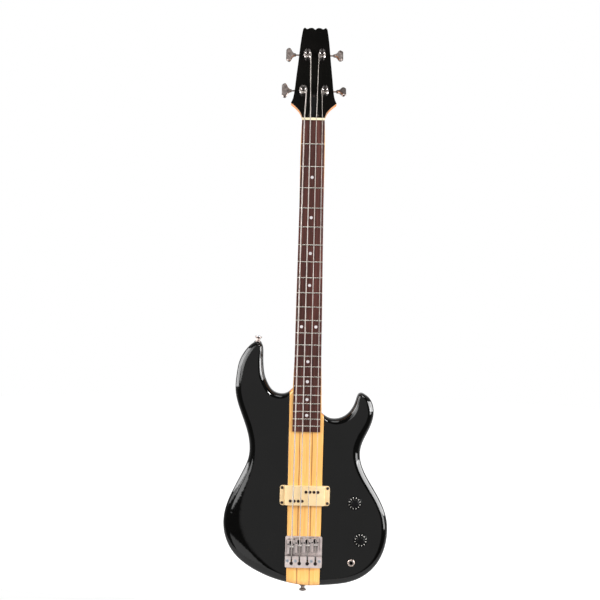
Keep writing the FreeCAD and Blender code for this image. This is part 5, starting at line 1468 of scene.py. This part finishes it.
@dataclass
class Studio:
    """Pale floor, soft light and the camera, in metres."""

    # Brightness of the surround from the camera's side to behind the bass
    surround: Sequence[Range] = (
        (0.0, 0.45), (0.0135, 0.45), (0.023, 0.03), (0.3, 0.05), (0.6, 0.36), (1.0, 0.42),
    )
    soft_boxes: Sequence[SoftBox] = (
        SoftBox((-40.0, -11.0), (-2.6, 14.0), strength=4.0),
        SoftBox((-42.0, -12.0), (-34.0, -19.5), strength=1.1),
        SoftBox((-82.0, -39.0), (6.5, 24.0), strength=2.8),
        SoftBox((44.0, 70.0), (-8.0, 5.0), strength=8.0),
    )
    lamps: Sequence[Lamp] = (
        Lamp("key", (1.5, -2.6, 1.9), (0.55, 0.55), power=47.0),
        Lamp("fill", (-2.0, -2.2, 1.2), (1.4, 1.4), power=16.0),
        Lamp("top", (0.2, -0.8, 2.8), (1.2, 1.2), power=13.0),
        Lamp("left_panel", (-0.75, -0.12, 0.655), (0.75, 0.59), power=11.5, target=(0.0, -0.12, 0.655)),
        Lamp("right_panel", (1.5, -0.5, 0.62), (2.1, 0.6), power=48.0, target=(0.0, -0.5, 0.62)),
    )
    floor_tones: Stops = ((0.3, (0.3, 0.3, 0.3)), (0.7, (0.34, 0.34, 0.34)))
    floor_middle: Vector = Vector((0.0, 2.28, -0.0032))
    floor_radius: float = 2.4
    floor_seen: float = 0.95
    floor_cast: float = 0.35
    camera_place: Vector = Vector((-0.01883, -3.0269, 0.6614))
    camera_pitch: float = math.radians(1.26)
    camera_roll: float = math.radians(1.31)
    focal_pixels: float = 1478.8
    frame_pixels: float = 600.0
    sensor: float = 36.0

    def build(self) -> None:
        """Set up the floor, the light and the camera."""
        self.floor()
        self.sky()
        for lamp in self.lamps:
            self.lamp(lamp)
        self.camera()

    def floor(self) -> None:
        """Round pale floor, which glows less in light and reflections than to the eye."""
        bm = bmesh.new()
        bmesh.ops.create_circle(
            bm, cap_ends=True, segments=96, radius=self.floor_radius,
            matrix=Matrix.Translation(self.floor_middle),
        )
        mesh = bpy.data.meshes.new("pale_floor")
        bm.to_mesh(mesh)
        bm.free()
        bench = ShaderBench("pale_floor")
        tone = bench.ramp(bench.noise(bench.places(), scale=40.0, detail=3.0), self.floor_tones)
        bench.join(tone, bench.shader.inputs["Base Color"])
        bench.constant(Roughness=0.95, Emission_Color=(*WHITE, 1.0))
        seen = bench.add("ShaderNodeLightPath").outputs["Is Camera Ray"]
        glow = bench.spread(seen, self.floor_cast, self.floor_seen, start=0.0, end=1.0)
        bench.join(glow, bench.shader.inputs["Emission Strength"])
        mesh.materials.append(bench.material)
        floor = bpy.data.objects.new("pale_floor", mesh)
        bpy.context.scene.collection.objects.link(floor)

    def sky(self) -> None:
        """Surround that shows white, and lights the bass by its soft boxes and dimmer walls."""
        world = bpy.data.worlds.new("studio")
        bpy.context.scene.world = world
        world.use_nodes = True
        tree = world.node_tree
        tree.nodes.clear()
        coords = tree.nodes.new("ShaderNodeTexCoord")
        parts = tree.nodes.new("ShaderNodeSeparateXYZ")
        tree.links.new(coords.outputs["Generated"], parts.inputs[0])
        span = tree.nodes.new("ShaderNodeMapRange")
        span.inputs["From Min"].default_value = -1.0
        ramp = tree.nodes.new("ShaderNodeValToRGB")
        while len(ramp.color_ramp.elements) < len(self.surround):
            ramp.color_ramp.elements.new(0.5)
        for element, (position, value) in zip(ramp.color_ramp.elements, self.surround):
            element.position = position
            element.color = (value, value, value, 1.0)
        tree.links.new(parts.outputs["Y"], span.inputs["Value"])
        tree.links.new(span.outputs["Result"], ramp.inputs["Fac"])
        ahead = self.maths(tree, "MULTIPLY", parts.outputs["Y"], -1.0)
        round_angle = self.maths(tree, "ARCTAN2", parts.outputs["X"], ahead)
        height_angle = self.maths(tree, "ARCSINE", parts.outputs["Z"])
        strength = ramp.outputs["Color"]
        for box in self.soft_boxes:
            across = self.band(tree, round_angle, box.round_span, box.softness)
            upright = self.band(tree, height_angle, box.height_span, box.softness)
            patch = self.maths(tree, "MULTIPLY", across, upright)
            glow = self.maths(tree, "MULTIPLY", patch, box.strength)
            strength = self.maths(tree, "ADD", strength, glow)
        path = tree.nodes.new("ShaderNodeLightPath")
        room = tree.nodes.new("ShaderNodeBackground")
        white = tree.nodes.new("ShaderNodeBackground")
        for background in (room, white):
            background.inputs["Color"].default_value = (*WHITE, 1.0)
        mix = tree.nodes.new("ShaderNodeMixShader")
        out = tree.nodes.new("ShaderNodeOutputWorld")
        tree.links.new(strength, room.inputs["Strength"])
        tree.links.new(path.outputs["Is Camera Ray"], mix.inputs[0])
        tree.links.new(room.outputs[0], mix.inputs[1])
        tree.links.new(white.outputs[0], mix.inputs[2])
        tree.links.new(mix.outputs[0], out.inputs["Surface"])

    def maths(self, tree: bpy.types.NodeTree, operation: str, *terms: Socket | float) -> Socket:
        """Add a maths node.

        Args:
            tree: Where to add it.
            operation: What it works out.
            terms: Sockets or plain numbers.

        Returns:
            Its result.
        """
        node = tree.nodes.new("ShaderNodeMath")
        node.operation = operation
        for place, term in zip(node.inputs, terms):
            if isinstance(term, float):
                place.default_value = term
            else:
                tree.links.new(term, place)
        return node.outputs[0]

    def band(self, tree: bpy.types.NodeTree, angle: Socket, span: Range, softness: float) -> Socket:
        """One between two angles and nothing outside them.

        Args:
            tree: Where to add the nodes.
            angle: Angle in radians.
            span: Lower and upper edge in degrees.
            softness: Width of the edges in degrees.

        Returns:
            The share.
        """
        sides = []
        for edge, way in zip(span, (1.0, -1.0)):
            step = tree.nodes.new("ShaderNodeMapRange")
            step.interpolation_type = "SMOOTHSTEP"
            step.inputs["From Min"].default_value = math.radians(edge - way * softness / 2)
            step.inputs["From Max"].default_value = math.radians(edge + way * softness / 2)
            tree.links.new(angle, step.inputs["Value"])
            sides.append(step.outputs["Result"])
        return self.maths(tree, "MULTIPLY", *sides)

    def lamp(self, lamp: Lamp) -> None:
        """Add a soft lamp.

        Args:
            lamp: Where it stands, what it points at, its size and its power.
        """
        light = bpy.data.lights.new(lamp.name, "AREA")
        light.energy = lamp.power
        light.shape = "RECTANGLE"
        light.size, light.size_y = lamp.size
        stand = bpy.data.objects.new(lamp.name, light)
        place = Vector(lamp.place)
        aim = (Vector(lamp.target) - place).to_track_quat("-Z", "Y").to_matrix().to_4x4()
        stand.matrix_world = Matrix.Translation(place) @ aim
        bpy.context.scene.collection.objects.link(stand)

    def camera(self) -> None:
        """Camera at the photograph's angle."""
        data = bpy.data.cameras.new("camera")
        data.sensor_width = self.sensor
        data.lens = self.focal_pixels / self.frame_pixels * self.sensor
        camera = bpy.data.objects.new("camera", data)
        level = Matrix.Rotation(math.pi / 2 - self.camera_pitch, 4, "X")
        roll = Matrix.Rotation(self.camera_roll, 4, "Z")
        camera.matrix_world = Matrix.Translation(self.camera_place) @ level @ roll
        bpy.context.scene.collection.objects.link(camera)
        bpy.context.scene.camera = camera
        bpy.context.scene.view_settings.view_transform = "Standard"


@dataclass
class BassGuitar:
    """The whole bass: CAD nodes with their finishes and the pieces added here."""

    frame: dict
    shop: Workshop
    head: Headstock

    def build(self) -> None:
        """Dress the CAD nodes and build every added piece."""
        by_slot, extra = self.shop.by_slot, self.shop.extra
        self.shop.dress(self.frame["nodes"])
        StringSet(by_slot[Slot.STRING], self.head).build()
        Fasteners(self.shop, self.head).build()
        SaddleSockets(extra[Special.SOCKET]).build()
        StrapFelts(by_slot[Slot.FELT]).build()
        Leads(by_slot[Slot.PLASTIC]).build()
        thread = WormThread(by_slot[Slot.NICKEL], self.head)
        for row in STRINGS:
            thread.build(row)
        ticks = KnobTicks(extra[Special.TICK_PAINT])
        for name in ("volume", "tone"):
            ticks.build(name, *CONTROLS[name])


def main() -> None:
    """Build the bass and its studio."""
    logging.basicConfig(level=logging.INFO, format="%(message)s")
    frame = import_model()
    BassGuitar(frame, Workshop(), Headstock()).build()
    Studio().build()


if __name__ == "__main__":
    main()
